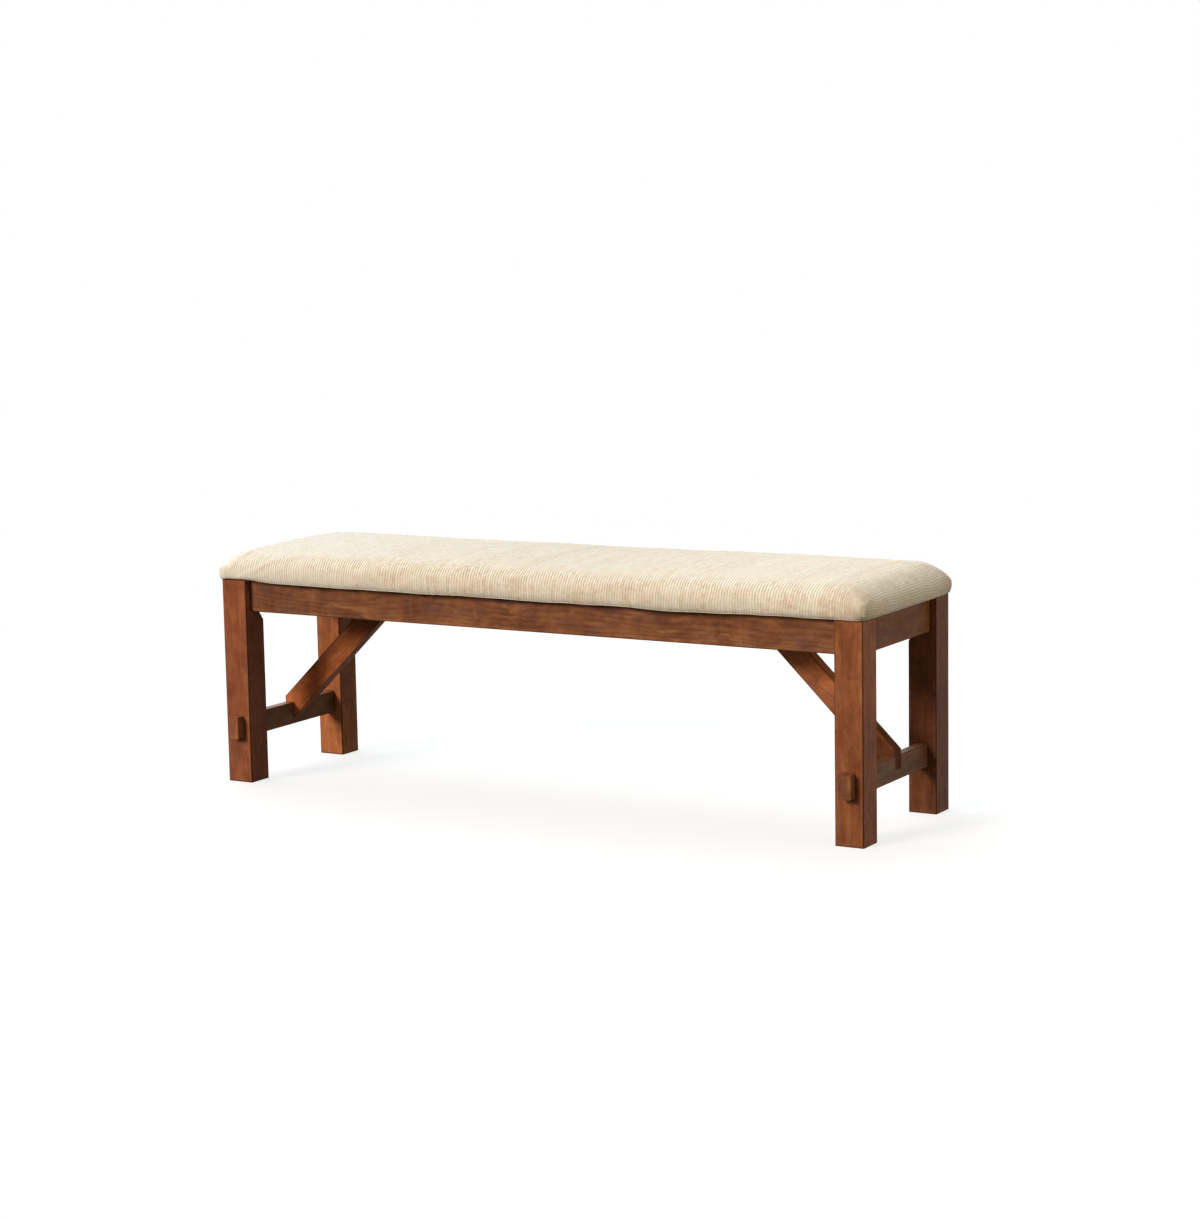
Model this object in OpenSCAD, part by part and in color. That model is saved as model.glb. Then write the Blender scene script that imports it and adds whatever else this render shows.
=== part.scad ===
// Upholstered dining bench: a post and rail frame with low end stretchers and diagonal braces.
// X runs along the length, the front faces -Y, Z is up, and the origin is on the floor under the middle.

/* [Overall] */
// Length over the outer faces of the legs
bench_length = 1510; // [1100:10:1800]
// Depth over the outer faces of the legs
bench_depth = 400; // [360:5:480]
// Height of the legs, up to the seat
leg_height = 440; // [420:5:480]

/* [Legs] */
// Side of the square leg
leg_side = 61; // [54:1:64]
// Reach of the inner corner flat along each face
leg_flat_reach = 17; // [12:0.5:18]
// Length of the full flat below the rails
leg_flat_drop = 1; // [0:1:30]
// Length of the slope in which the flat runs out
leg_flat_slope = 24; // [12:1:50]
// Rounding of the long edges of the wood
edge_round = 2; // [1:0.5:3]

/* [Rails] */
// Height of the rails
rail_height = 70; // [66:1:90]
// Thickness of the rails
rail_thickness = 22; // [18:1:24]
// Step from the face of the legs back to the long rails
long_rail_inset = 16; // [8:1:18]
// Step from the face of the legs back to the end rails
end_rail_inset = 14; // [8:1:18]

/* [Cross rails] */
// Width of the flat cross rail over a brace
brace_rail_width = 100; // [96:1:120]
// Thickness of the flat cross rail over a brace
brace_rail_thickness = 22; // [18:1:26]
// Thickness of the middle cross rail
centre_rail_thickness = 22; // [18:1:30]
// Height of the middle cross rail
centre_rail_height = 50; // [44:1:60]
// Depth of the housings that hold the cross rails
housing_depth = 6; // [4:0.5:8]

/* [Stretchers] */
// Height of the underside of the stretchers above the floor
stretcher_rise = 96; // [70:1:140]
// Height of the stretchers
stretcher_height = 48; // [44:1:60]
// Thickness of the stretchers
stretcher_thickness = 22; // [20:1:30]
// Depth of the notch in the stretcher that seats the brace
stretcher_notch = 27; // [16:1:30]
// Thickness of the stub tenons
tenon_thickness = 10; // [8:1:14]
// Length of the stub tenons
tenon_length = 24; // [16:1:30]
// Shoulder above and below the stub tenons
tenon_shoulder = 6; // [4:1:10]
// Width of the tenon caps on the legs
cap_width = 26; // [22:1:32]
// How far the tenon caps stand proud of the legs
cap_proud = 20; // [10:1:30]

/* [Braces] */
// Angle of the braces to the floor
brace_angle = 44.2; // [42:0.1:50]
// Width of the braces across their slope
brace_width = 49; // [44:1:54]
// Thickness of the braces
brace_thickness = 26; // [20:1:32]
// Height of the plumb cut at the foot of the brace
brace_toe = 39; // [34:1:46]

/* [Corner blocks] */
// Thickness of the corner blocks along the bolt
block_thickness = 25; // [20:1:30]
// Height of the corner blocks
block_height = 56; // [50:1:62]
// Gap between the leg and its corner block, closed up by the bolt
block_gap = 6; // [3:0.5:8]

/* [Seat] */
// Height of the seat above the legs, at its crown
seat_height = 69; // [56:1:90]
// How far the seat stands out past the legs
seat_overhang = 10; // [8:0.5:14]
// Height of the seat's widest line above the legs
seat_widest = 19; // [18:0.5:24]
// Width of the round of the seat's edges
seat_round = 60; // [40:1:90]
// Extra rise of the crown over the round of the edges
seat_crown = 8; // [2:0.5:14]
// Radius of the seat's corners in plan
seat_corner = 16; // [12:1:30]
// How far the seat's corners are drawn in from the middle of its sides
seat_bow = 2; // [1:0.5:4]
// How far the cover turns in under the widest line
seat_turn = 8; // [7:0.5:9]
// Width of the cover that is turned under the board
cover_lip = 45; // [30:1:60]
// Thickness of the cover
cover_thickness = 1.6; // [1:0.1:2]
// Thickness of the wadding
wadding_thickness = 6; // [4:0.5:7]
// Thickness of the seat board
board_thickness = 15; // [12:1:16]
// Thickness of the dust cover
dust_thickness = 0.8; // [0.5:0.1:1.2]

/* [Hidden] */
$fn = 40;

// Every cut runs past the face that it opens
overrun = 1;
// Clearance of wood in its housing, mortise or notch
joint_gap = 0.2;
// Clearance of soft pieces and of the board to what they lie on
soft_gap = 0.3;
// Clearance of a dowel, bolt or screw in its hole, on the radius
hole_gap = 0.1;

// Halves of the frame, and its inner lines in the quadrant where X and Y are positive
half_length = bench_length / 2;
half_depth = bench_depth / 2;
leg_inner_x = half_length - leg_side;
leg_inner_y = half_depth - leg_side;
rail_bottom = leg_height - rail_height;
long_rail_outer = half_depth - long_rail_inset;
long_rail_inner = long_rail_outer - rail_thickness;
end_rail_outer = half_length - end_rail_inset;
end_rail_inner = end_rail_outer - rail_thickness;

// Corner flat of the leg
leg_flat_depth = leg_flat_reach / sqrt(2);
leg_flat_start = rail_bottom - leg_flat_drop;

// Dowels between rails and legs
dowel_radius = 5;
dowel_reach = 18;
dowel_height_shares = [0.26, 0.74];

// Stretchers
stretcher_centre = half_length - leg_side / 2;
stretcher_outer = stretcher_centre + stretcher_thickness / 2;
stretcher_inner = stretcher_centre - stretcher_thickness / 2;
stretcher_top = stretcher_rise + stretcher_height;
notch_floor = stretcher_top - stretcher_notch;
tenon_height = stretcher_height - 2 * tenon_shoulder;

// Cross rails
brace_rail_bottom = leg_height - brace_rail_thickness;

// Braces: the upper edge starts at the top of the plumb cut on the stretcher's outer face
brace_foot = notch_floor + joint_gap;
brace_toe_top = brace_foot + brace_toe;
brace_run = brace_width / sin(brace_angle);
brace_top = brace_rail_bottom + housing_depth - joint_gap;
brace_heel = stretcher_inner - joint_gap;
function brace_upper_x(z) = stretcher_outer - (z - brace_toe_top) / tan(brace_angle);
function brace_lower_x(z) = brace_upper_x(z) - brace_run;
function brace_lower_z(x) = brace_toe_top + (stretcher_outer - brace_run - x) * tan(brace_angle);
brace_rail_centre = (brace_upper_x(brace_top) + brace_lower_x(brace_top)) / 2;

// Corner blocks lie between two lines on which X + Y is constant
block_outer_sum = leg_inner_x + leg_inner_y + leg_flat_reach - block_gap * sqrt(2);
block_inner_sum = block_outer_sum - block_thickness * sqrt(2);
block_middle_sum = (block_outer_sum + block_inner_sum) / 2;
block_middle_z = rail_bottom + rail_height / 2;
block_bottom = block_middle_z - block_height / 2;

// Hanger bolts, measured from the leg's flat
bolt_radius = 4;
bolt_bite = 35;
bolt_tip = 6;
bolt_tail = 5;
block_bore_radius = 4.5;
washer_radius = 9;
washer_thickness = 1.6;
nut_corner_radius = 7.5;
nut_thickness = 6.5;
washer_face = block_gap + block_thickness;
nut_face = washer_face + washer_thickness;
bolt_end = nut_face + nut_thickness + bolt_tail;

// Wood screws
screw_radius = 2;
screw_head_radius = 4;
screw_head_height = 2.6;
block_screw_sink = 5;
block_screw_bite = 14;
block_screw_shares = [0.2, 0.8];
block_screw_length = block_middle_sum - block_inner_sum - block_screw_sink + block_screw_bite;
head_screw_length = 50;
head_screw_shares = [-0.25, 0.25];
toe_screw_length = 45;
seat_screw_length = 50;
seat_screw_bite = 11;
seat_screw_offset = 13;
centre_screw_share = 0.6;

// Seat: heights of the layers from below
seat_base = leg_height + soft_gap;
board_bottom = seat_base + cover_thickness + soft_gap;
board_top = board_bottom + board_thickness;
widest_z = leg_height + seat_widest;
crown_top = leg_height + seat_height;
seat_half_length = half_length + seat_overhang;
seat_half_depth = half_depth + seat_overhang;
board_inset = 4;
board_half_length = half_length - board_inset;
board_half_depth = half_depth - board_inset;
board_corner = 10;
dust_half_length = seat_half_length - seat_turn - cover_lip - soft_gap;
dust_half_depth = seat_half_depth - seat_turn - cover_lip - soft_gap;
wadding_skin = cover_thickness + soft_gap;
foam_skin = wadding_skin + wadding_thickness;

// Seat screws go up through the corner blocks, beside the bolt, and through the middle cross rail
seat_screw_z = board_bottom + seat_screw_bite - seat_screw_length;
block_centre_x = (block_middle_sum - long_rail_inner + end_rail_inner) / 2;
block_centre_y = block_middle_sum - block_centre_x;

// Shares of the quarter outline and of the rings of the seat's surface
end_point_share = 0.36;
side_point_shares = [0.86, 0.62, 0.38, 0.13];
corner_angles = [0, 22.5, 45, 67.5, 90];
crown_ring_shares = [0.97, 0.7, 0.45];
round_ring_shares = [1, 0.72, 0.5, 0.32, 0.18, 0.08, 0.025, 0];
turn_angles = [30, 60, 90];
end_roundness = 1.85;
side_roundness = 2.4;
crown_end_share = 1.2;
corner_ease_share = 0.3;

module in_corner(side_x, side_y) {
    mirror([side_x < 0 ? 1 : 0, 0, 0])
        mirror([0, side_y < 0 ? 1 : 0, 0])
            children();
}

module four_corners() {
    for (side_x = [-1, 1], side_y = [-1, 1])
        in_corner(side_x, side_y) children();
}

module both_ends() {
    for (side_x = [-1, 1])
        in_corner(side_x, 1) children();
}

// A rectangle with rounded corners, centred
module rounded_rectangle(width, height, radius) {
    square([width - 2 * radius, height], center = true);
    square([width, height - 2 * radius], center = true);
    for (side_x = [-1, 1], side_y = [-1, 1])
        translate([side_x * (width / 2 - radius), side_y * (height / 2 - radius)])
            circle(radius);
}

// A bar along X, centred on X and Y and standing on Z = 0
module bar(length, thickness, height) {
    translate([0, 0, height / 2])
        rotate([90, 0, 90])
            linear_extrude(length, center = true)
                rounded_rectangle(thickness, height, edge_round);
}

// A countersunk wood screw along +Z, with the flat of its head at Z = 0
module wood_screw(length) {
    cylinder(h = screw_head_height, r1 = screw_head_radius, r2 = screw_radius);
    cylinder(h = length - screw_head_height, r = screw_radius);
    translate([0, 0, length - screw_head_height])
        cylinder(h = screw_head_height, r1 = screw_radius, r2 = 0);
}

// The hole of a wood screw, with a counterbore of a given depth behind the head
module screw_hole(length, counterbore) {
    cylinder(h = length + hole_gap, r = screw_radius + hole_gap);
    translate([0, 0, -hole_gap])
        cylinder(h = screw_head_height + hole_gap, r1 = screw_head_radius + 2 * hole_gap,
                 r2 = screw_radius + hole_gap);
    translate([0, 0, -counterbore])
        cylinder(h = counterbore, r = screw_head_radius + 2 * hole_gap);
}

// Children are placed with their axis +Z along each dowel of the back right corner, from the leg's face
module dowel_axes() {
    for (share = dowel_height_shares) {
        translate([leg_inner_x, long_rail_inner + rail_thickness / 2, rail_bottom + share * rail_height])
            rotate([0, 90, 0]) children();
        translate([end_rail_inner + rail_thickness / 2, leg_inner_y, rail_bottom + share * rail_height])
            rotate([-90, 0, 0]) children();
    }
}

module dowel_holes() {
    dowel_axes()
        translate([0, 0, -dowel_reach - hole_gap])
            cylinder(h = 2 * (dowel_reach + hole_gap), r = dowel_radius + hole_gap);
}

// Children are placed with +Z along the hanger bolt, into the leg, from the leg's flat
module bolt_axis() {
    translate([leg_inner_x + leg_flat_reach / 2, leg_inner_y + leg_flat_reach / 2, block_middle_z])
        rotate([0, 0, 45])
            rotate([0, 90, 0]) children();
}

// Children are placed with +Z along each screw of a corner block, from the flat of its head
module block_screw_axes() {
    for (share = block_screw_shares) {
        translate([block_middle_sum - long_rail_inner,
                   block_inner_sum - block_middle_sum + long_rail_inner + block_screw_sink,
                   block_bottom + share * block_height])
            rotate([-90, 0, 0]) children();
        translate([block_inner_sum - block_middle_sum + end_rail_inner + block_screw_sink,
                   block_middle_sum - end_rail_inner,
                   block_bottom + share * block_height])
            rotate([0, 90, 0]) children();
    }
}

// Children are placed with +Z up each seat screw, from the flat of its head
module block_seat_screw_axis() {
    translate([block_centre_x - seat_screw_offset / sqrt(2),
               block_centre_y + seat_screw_offset / sqrt(2), seat_screw_z])
        children();
}
module centre_seat_screw_axes() {
    for (side_y = [-1, 1])
        translate([0, side_y * centre_screw_share * long_rail_inner, seat_screw_z])
            children();
}
module seat_screw_axes() {
    four_corners() block_seat_screw_axis() children();
    centre_seat_screw_axes() children();
}

// Children are placed with +Z down each screw that holds the head of the right brace
module head_screw_axes() {
    for (share = head_screw_shares)
        translate([brace_rail_centre + share * brace_run, 0, leg_height])
            rotate([180, 0, 0]) children();
}

// Children are placed with +Z up the screw that holds the foot of the right brace
module toe_screw_axis() {
    translate([stretcher_centre, 0, stretcher_rise]) children();
}

// Back right leg: square post, flat on the inner top corner that runs out in a slope, mortise and holes
module leg() {
    difference() {
        translate([half_length - leg_side / 2, half_depth - leg_side / 2, 0])
            linear_extrude(leg_height) rounded_rectangle(leg_side, leg_side, edge_round);
        translate([leg_inner_x, leg_inner_y, leg_flat_start])
            rotate([90, 0, 45])
                linear_extrude(2 * leg_side, center = true)
                    polygon([[0, -leg_flat_slope], [leg_flat_depth, 0],
                             [leg_flat_depth, rail_height + leg_flat_drop + overrun],
                             [-leg_side, rail_height + leg_flat_drop + overrun],
                             [-leg_side, -leg_flat_slope]]);
        dowel_holes();
        bolt_axis() cylinder(h = bolt_bite + hole_gap, r = bolt_radius + hole_gap);
        translate([stretcher_centre, leg_inner_y + tenon_length / 2, stretcher_rise + stretcher_height / 2])
            cube([tenon_thickness + 2 * joint_gap, tenon_length + 2 * joint_gap,
                  tenon_height + 2 * joint_gap], center = true);
    }
}

// Back long rail, with housings for the three cross rails
module long_rail() {
    difference() {
        translate([0, long_rail_inner + rail_thickness / 2, rail_bottom])
            bar(2 * leg_inner_x, rail_thickness, rail_height);
        both_ends() {
            dowel_holes();
            block_screw_axes() screw_hole(block_screw_length, overrun);
            translate([brace_rail_centre, 0, brace_rail_bottom])
                housing(brace_rail_width, brace_rail_thickness);
        }
        translate([0, 0, leg_height - centre_rail_height])
            housing(centre_rail_thickness, centre_rail_height);
    }
}

// The housing of a cross rail in the inner face of the back long rail, open at the top
module housing(width, height) {
    translate([-width / 2 - joint_gap, long_rail_inner - overrun, -joint_gap])
        cube([width + 2 * joint_gap, housing_depth + overrun, height + joint_gap + overrun]);
}

// Right end rail
module end_rail() {
    difference() {
        translate([end_rail_inner + rail_thickness / 2, 0, rail_bottom])
            rotate([0, 0, 90])
                bar(2 * leg_inner_y, rail_thickness, rail_height);
        for (side_y = [-1, 1])
            in_corner(1, side_y) {
                dowel_holes();
                block_screw_axes() screw_hole(block_screw_length, overrun);
            }
    }
}

// A cross rail between the housings of the long rails, centred on X
module cross_rail(width, height) {
    translate([0, 0, leg_height - height])
        rotate([0, 0, 90])
            translate([0, 0, height / 2])
                cube([2 * (long_rail_inner + housing_depth - joint_gap), width, height], center = true);
}

// Right cross rail over the brace, with the shallow housing of the brace's head
module brace_rail() {
    difference() {
        translate([brace_rail_centre, 0, 0]) cross_rail(brace_rail_width, brace_rail_thickness);
        head_screw_axes() screw_hole(head_screw_length, overrun);
        translate([brace_lower_x(brace_top) - joint_gap, -brace_thickness / 2 - joint_gap,
                   brace_rail_bottom - overrun])
            cube([brace_upper_x(brace_rail_bottom) - brace_lower_x(brace_top) + 2 * joint_gap,
                  brace_thickness + 2 * joint_gap, housing_depth + overrun]);
    }
}

// Right stretcher: stub tenons, and a notch that seats the foot of the brace
module end_stretcher() {
    difference() {
        union() {
            translate([stretcher_centre, 0, stretcher_rise])
                rotate([0, 0, 90])
                    bar(2 * leg_inner_y, stretcher_thickness, stretcher_height);
            translate([stretcher_centre, 0, stretcher_rise + stretcher_height / 2])
                cube([tenon_thickness, 2 * (leg_inner_y + tenon_length), tenon_height], center = true);
        }
        translate([stretcher_centre, 0, notch_floor + stretcher_height / 2])
            cube([2 * stretcher_thickness, brace_thickness + 2 * joint_gap, stretcher_height],
                 center = true);
        toe_screw_axis() screw_hole(toe_screw_length, overrun);
    }
}

// Right brace: level cut at the head, plumb cuts at toe and heel round the stretcher
module brace() {
    difference() {
        rotate([90, 0, 0])
            linear_extrude(brace_thickness, center = true)
                polygon([
                    [stretcher_outer, brace_toe_top],
                    [brace_upper_x(brace_top), brace_top],
                    [brace_lower_x(brace_top), brace_top],
                    [brace_heel, brace_lower_z(brace_heel)],
                    [brace_heel, brace_foot],
                    [stretcher_outer, brace_foot]
                ]);
        head_screw_axes() screw_hole(head_screw_length, overrun);
        toe_screw_axis() screw_hole(toe_screw_length, overrun);
    }
}

// Block on the outer face of the back right leg, like the end of a through tenon
module tenon_cap() {
    translate([stretcher_centre, half_depth + cap_proud / 2, stretcher_rise + stretcher_height / 2])
        rotate([90, 0, 0])
            linear_extrude(cap_proud, center = true)
                rounded_rectangle(cap_width, stretcher_height, edge_round);
}

// Back right corner block, mitred to both rails
module corner_block() {
    difference() {
        translate([0, 0, block_bottom])
            linear_extrude(block_height)
                polygon([
                    [block_outer_sum - long_rail_inner, long_rail_inner],
                    [end_rail_inner, block_outer_sum - end_rail_inner],
                    [end_rail_inner, block_inner_sum - end_rail_inner],
                    [block_inner_sum - long_rail_inner, long_rail_inner]
                ]);
        bolt_axis()
            translate([0, 0, -bolt_end]) cylinder(h = bolt_end, r = block_bore_radius);
        block_screw_axes() screw_hole(block_screw_length, 2 * block_thickness);
        block_seat_screw_axis() screw_hole(seat_screw_length, block_height);
    }
}

module centre_rail_solid() {
    difference() {
        cross_rail(centre_rail_thickness, centre_rail_height);
        centre_seat_screw_axes() screw_hole(seat_screw_length, centre_rail_height);
    }
}

// One hanger bolt: tapered point in the leg, plain end through the block
module hanger_bolt() {
    bolt_axis() {
        translate([0, 0, -bolt_end]) cylinder(h = bolt_end + bolt_bite - bolt_tip, r = bolt_radius);
        translate([0, 0, bolt_bite - bolt_tip])
            cylinder(h = bolt_tip, r1 = bolt_radius, r2 = bolt_radius / 2);
    }
}

module hanger_washer() {
    bolt_axis()
        translate([0, 0, -nut_face])
            difference() {
                cylinder(h = washer_thickness, r = washer_radius);
                translate([0, 0, -overrun])
                    cylinder(h = washer_thickness + 2 * overrun, r = bolt_radius + hole_gap);
            }
}

module hanger_nut() {
    bolt_axis()
        translate([0, 0, -nut_face - nut_thickness])
            difference() {
                cylinder(h = nut_thickness, r = nut_corner_radius, $fn = 6);
                translate([0, 0, -overrun])
                    cylinder(h = nut_thickness + 2 * overrun, r = bolt_radius + hole_gap);
            }
}

// A flat sheet or board with round corners, pierced by the seat screws
module seat_sheet(half_x, half_y, bottom, thickness) {
    difference() {
        translate([0, 0, bottom])
            linear_extrude(thickness) rounded_rectangle(2 * half_x, 2 * half_y, board_corner);
        seat_screw_axes()
            cylinder(h = seat_screw_length + hole_gap, r = screw_radius + hole_gap);
    }
}

// The seat's soft surface. It is a stack of rings: each is the seat's plan drawn in by an inset,
// and its points rise from the widest line with their distance from the ends and from the sides.
function rise(share, roundness) =
    pow(1 - pow(1 - min(max(share, 0), 1), roundness), 1 / roundness);
function swell(share) = 1 - pow(1 - min(max(share, 0), 1), 2);

// Height of the surface over the point x, y, for a layer that lies `skin` under the cover's face
function seat_z(x, y, skin) =
    let (
        from_end = seat_half_length - skin - abs(x) - seat_bow * pow(y / seat_half_depth, 2),
        from_side = seat_half_depth - skin - abs(y) - seat_bow * pow(x / seat_half_length, 2)
    )
    widest_z
    + (crown_top - skin - seat_crown - widest_z)
        * rise(from_end / seat_round, end_roundness) * rise(from_side / seat_round, side_roundness)
    + seat_crown
        * swell(from_end / (crown_end_share * seat_half_depth)) * swell(from_side / seat_half_depth);

// Quarter of the plan at an inset, from the end round the corner to the side
function quarter(inset) =
    let (
        half_x = seat_half_length - inset,
        half_y = seat_half_depth - inset,
        radius = min(half_y, max(seat_corner - corner_ease_share * inset, edge_round)),
        straight = concat(
            [[half_x, end_point_share * (half_y - radius)]],
            [for (angle = corner_angles)
                [half_x - radius + radius * cos(angle), half_y - radius + radius * sin(angle)]],
            [for (share = side_point_shares) [share * (half_x - radius), half_y]]
        )
    )
    [for (p = straight) [
        p.x * (1 - seat_bow / half_x * pow(p.y / half_y, 2)),
        p.y * (1 - seat_bow / half_y * pow(p.x / half_x, 2))
    ]];
quarter_count = len(side_point_shares) + len(corner_angles) + 1;
ring_count = 4 * quarter_count;

function plan(inset) =
    let (q = quarter(inset), last = quarter_count - 1)
    concat(
        q,
        [for (i = [0 : last]) [-q[last - i].x, q[last - i].y]],
        [for (p = q) [-p.x, -p.y]],
        [for (i = [0 : last]) [q[last - i].x, -q[last - i].y]]
    );

// A ring on the crowned surface, and a level ring at height z
function crowned_ring(inset, skin) = [for (p = plan(inset + skin)) [p.x, p.y, seat_z(p.x, p.y, skin)]];
function level_ring(inset, z) = [for (p = plan(inset)) [p.x, p.y, z]];

// Rings from the crown out to the widest line
function crown_rings(skin) = concat(
    [for (share = crown_ring_shares) crowned_ring(share * (seat_half_depth - skin), skin)],
    [for (share = round_ring_shares) crowned_ring(share * seat_round, skin)]
);

// Rings from below the widest line down to the height bottom, where the turn ends
function turn_rings(skin, bottom) = [
    for (angle = turn_angles)
        level_ring(skin + seat_turn * (1 - cos(angle)), widest_z - (widest_z - bottom) * sin(angle))
];

function reversed(list) = [for (i = [len(list) - 1 : -1 : 0]) list[i]];

// A closed solid from a stack of rings that starts at the crown
module ring_solid(rings) {
    points = [for (ring = rings, point = ring) point];
    last = len(rings) - 1;
    function at(i, j) = i * ring_count + j % ring_count;
    walls = [
        for (i = [0 : last - 1], j = [0 : ring_count - 1], half = [0, 1])
            half == 0 ? [at(i, j), at(i, j + 1), at(i + 1, j + 1)]
                      : [at(i, j), at(i + 1, j + 1), at(i + 1, j)]
    ];
    first_cap = [
        for (j = [0 : ring_count / 2 - 2], half = [0, 1])
            let (k = ring_count - 1 - j)
            half == 0 ? [k, k - 1, j + 1] : [k, j + 1, j]
    ];
    last_cap = [
        for (face = first_cap) [for (i = [2 : -1 : 0]) last * ring_count + face[i]]
    ];
    polyhedron(points, concat(walls, first_cap, last_cap), convexity = 6);
}

module foam() {
    ring_solid(concat(
        crown_rings(foam_skin + soft_gap),
        [level_ring(foam_skin + soft_gap, board_top + soft_gap)]
    ));
}

// Wadding: a shell over the foam that also pads the edges of the board
module wadding_shell() {
    ring_solid(concat(
        crown_rings(wadding_skin),
        turn_rings(wadding_skin, board_bottom),
        [level_ring(seat_overhang + board_inset - soft_gap - seat_bow, board_bottom)],
        reversed(crown_rings(foam_skin))
    ));
}

// Cover: a shell over the wadding that turns under the board
module cover_shell() {
    lip_inset = seat_turn + cover_lip;
    ring_solid(concat(
        crown_rings(0),
        turn_rings(0, seat_base),
        [level_ring(lip_inset, seat_base)],
        [level_ring(lip_inset, seat_base + cover_thickness)],
        reversed(turn_rings(cover_thickness, seat_base + cover_thickness)),
        reversed(crown_rings(cover_thickness))
    ));
}

wood = [0.47, 0.25, 0.15];
inner_wood = [0.62, 0.44, 0.28];
steel = [0.7, 0.7, 0.68];

module leg_front_left() { color(wood) in_corner(-1, -1) leg(); }
module leg_front_right() { color(wood) in_corner(1, -1) leg(); }
module leg_back_left() { color(wood) in_corner(-1, 1) leg(); }
module leg_back_right() { color(wood) in_corner(1, 1) leg(); }
module long_rail_front() { color(wood) in_corner(1, -1) long_rail(); }
module long_rail_back() { color(wood) in_corner(1, 1) long_rail(); }
module end_rail_left() { color(wood) in_corner(-1, 1) end_rail(); }
module end_rail_right() { color(wood) in_corner(1, 1) end_rail(); }
module brace_rail_left() { color(wood) in_corner(-1, 1) brace_rail(); }
module brace_rail_right() { color(wood) in_corner(1, 1) brace_rail(); }
module centre_rail() { color(inner_wood) centre_rail_solid(); }
module end_stretcher_left() { color(wood) in_corner(-1, 1) end_stretcher(); }
module end_stretcher_right() { color(wood) in_corner(1, 1) end_stretcher(); }
module brace_left() { color(wood) in_corner(-1, 1) brace(); }
module brace_right() { color(wood) in_corner(1, 1) brace(); }
module tenon_cap_front_left() { color(wood) in_corner(-1, -1) tenon_cap(); }
module tenon_cap_front_right() { color(wood) in_corner(1, -1) tenon_cap(); }
module tenon_cap_back_left() { color(wood) in_corner(-1, 1) tenon_cap(); }
module tenon_cap_back_right() { color(wood) in_corner(1, 1) tenon_cap(); }
module corner_block_front_left() { color(inner_wood) in_corner(-1, -1) corner_block(); }
module corner_block_front_right() { color(inner_wood) in_corner(1, -1) corner_block(); }
module corner_block_back_left() { color(inner_wood) in_corner(-1, 1) corner_block(); }
module corner_block_back_right() { color(inner_wood) in_corner(1, 1) corner_block(); }

module rail_dowels() {
    color("burlywood")
        four_corners() dowel_axes() cylinder(h = 2 * dowel_reach, r = dowel_radius, center = true);
}
module hanger_bolts() { color(steel) four_corners() hanger_bolt(); }
module hanger_washers() { color(steel) four_corners() hanger_washer(); }
module hanger_nuts() { color(steel) four_corners() hanger_nut(); }
module block_screws() { color(steel) four_corners() block_screw_axes() wood_screw(block_screw_length); }
module brace_head_screws() { color(steel) both_ends() head_screw_axes() wood_screw(head_screw_length); }
module brace_toe_screws() { color(steel) both_ends() toe_screw_axis() wood_screw(toe_screw_length); }
module seat_screws() { color(steel) seat_screw_axes() wood_screw(seat_screw_length); }

module seat_board() {
    color(inner_wood)
        seat_sheet(board_half_length, board_half_depth, board_bottom, board_thickness);
}
module foam_pad() { color("khaki") foam(); }
module wadding() { color("whitesmoke") wadding_shell(); }
module seat_cover() { color([0.89, 0.83, 0.72]) cover_shell(); }
module dust_cover() {
    color([0.08, 0.08, 0.08])
        seat_sheet(dust_half_length, dust_half_depth, board_bottom - soft_gap - dust_thickness,
                   dust_thickness);
}

leg_front_left();
leg_front_right();
leg_back_left();
leg_back_right();
long_rail_front();
long_rail_back();
end_rail_left();
end_rail_right();
brace_rail_left();
brace_rail_right();
centre_rail();
end_stretcher_left();
end_stretcher_right();
brace_left();
brace_right();
tenon_cap_front_left();
tenon_cap_front_right();
tenon_cap_back_left();
tenon_cap_back_right();
corner_block_front_left();
corner_block_front_right();
corner_block_back_left();
corner_block_back_right();
rail_dowels();
hanger_bolts();
hanger_washers();
hanger_nuts();
block_screws();
brace_head_screws();
brace_toe_screws();
seat_screws();
seat_board();
foam_pad();
wadding();
seat_cover();
dust_cover();
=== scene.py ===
import math
import random

import bpy
import numpy as np
from mathutils import Euler, Matrix, Vector


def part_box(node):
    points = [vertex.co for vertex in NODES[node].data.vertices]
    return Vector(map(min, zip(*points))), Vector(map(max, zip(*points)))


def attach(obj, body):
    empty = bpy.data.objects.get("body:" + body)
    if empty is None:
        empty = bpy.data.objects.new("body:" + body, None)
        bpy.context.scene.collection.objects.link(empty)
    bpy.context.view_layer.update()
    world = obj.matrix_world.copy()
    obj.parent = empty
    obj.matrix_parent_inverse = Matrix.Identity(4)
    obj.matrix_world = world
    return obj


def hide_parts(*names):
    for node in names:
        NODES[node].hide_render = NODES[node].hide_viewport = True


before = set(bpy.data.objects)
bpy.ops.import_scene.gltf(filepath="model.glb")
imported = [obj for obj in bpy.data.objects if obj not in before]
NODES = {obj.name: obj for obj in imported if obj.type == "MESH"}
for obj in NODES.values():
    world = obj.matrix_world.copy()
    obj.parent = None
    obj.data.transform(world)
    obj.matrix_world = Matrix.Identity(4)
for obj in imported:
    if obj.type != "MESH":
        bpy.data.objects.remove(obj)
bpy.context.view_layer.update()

MM = 0.001
draws = random.Random(20)

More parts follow.
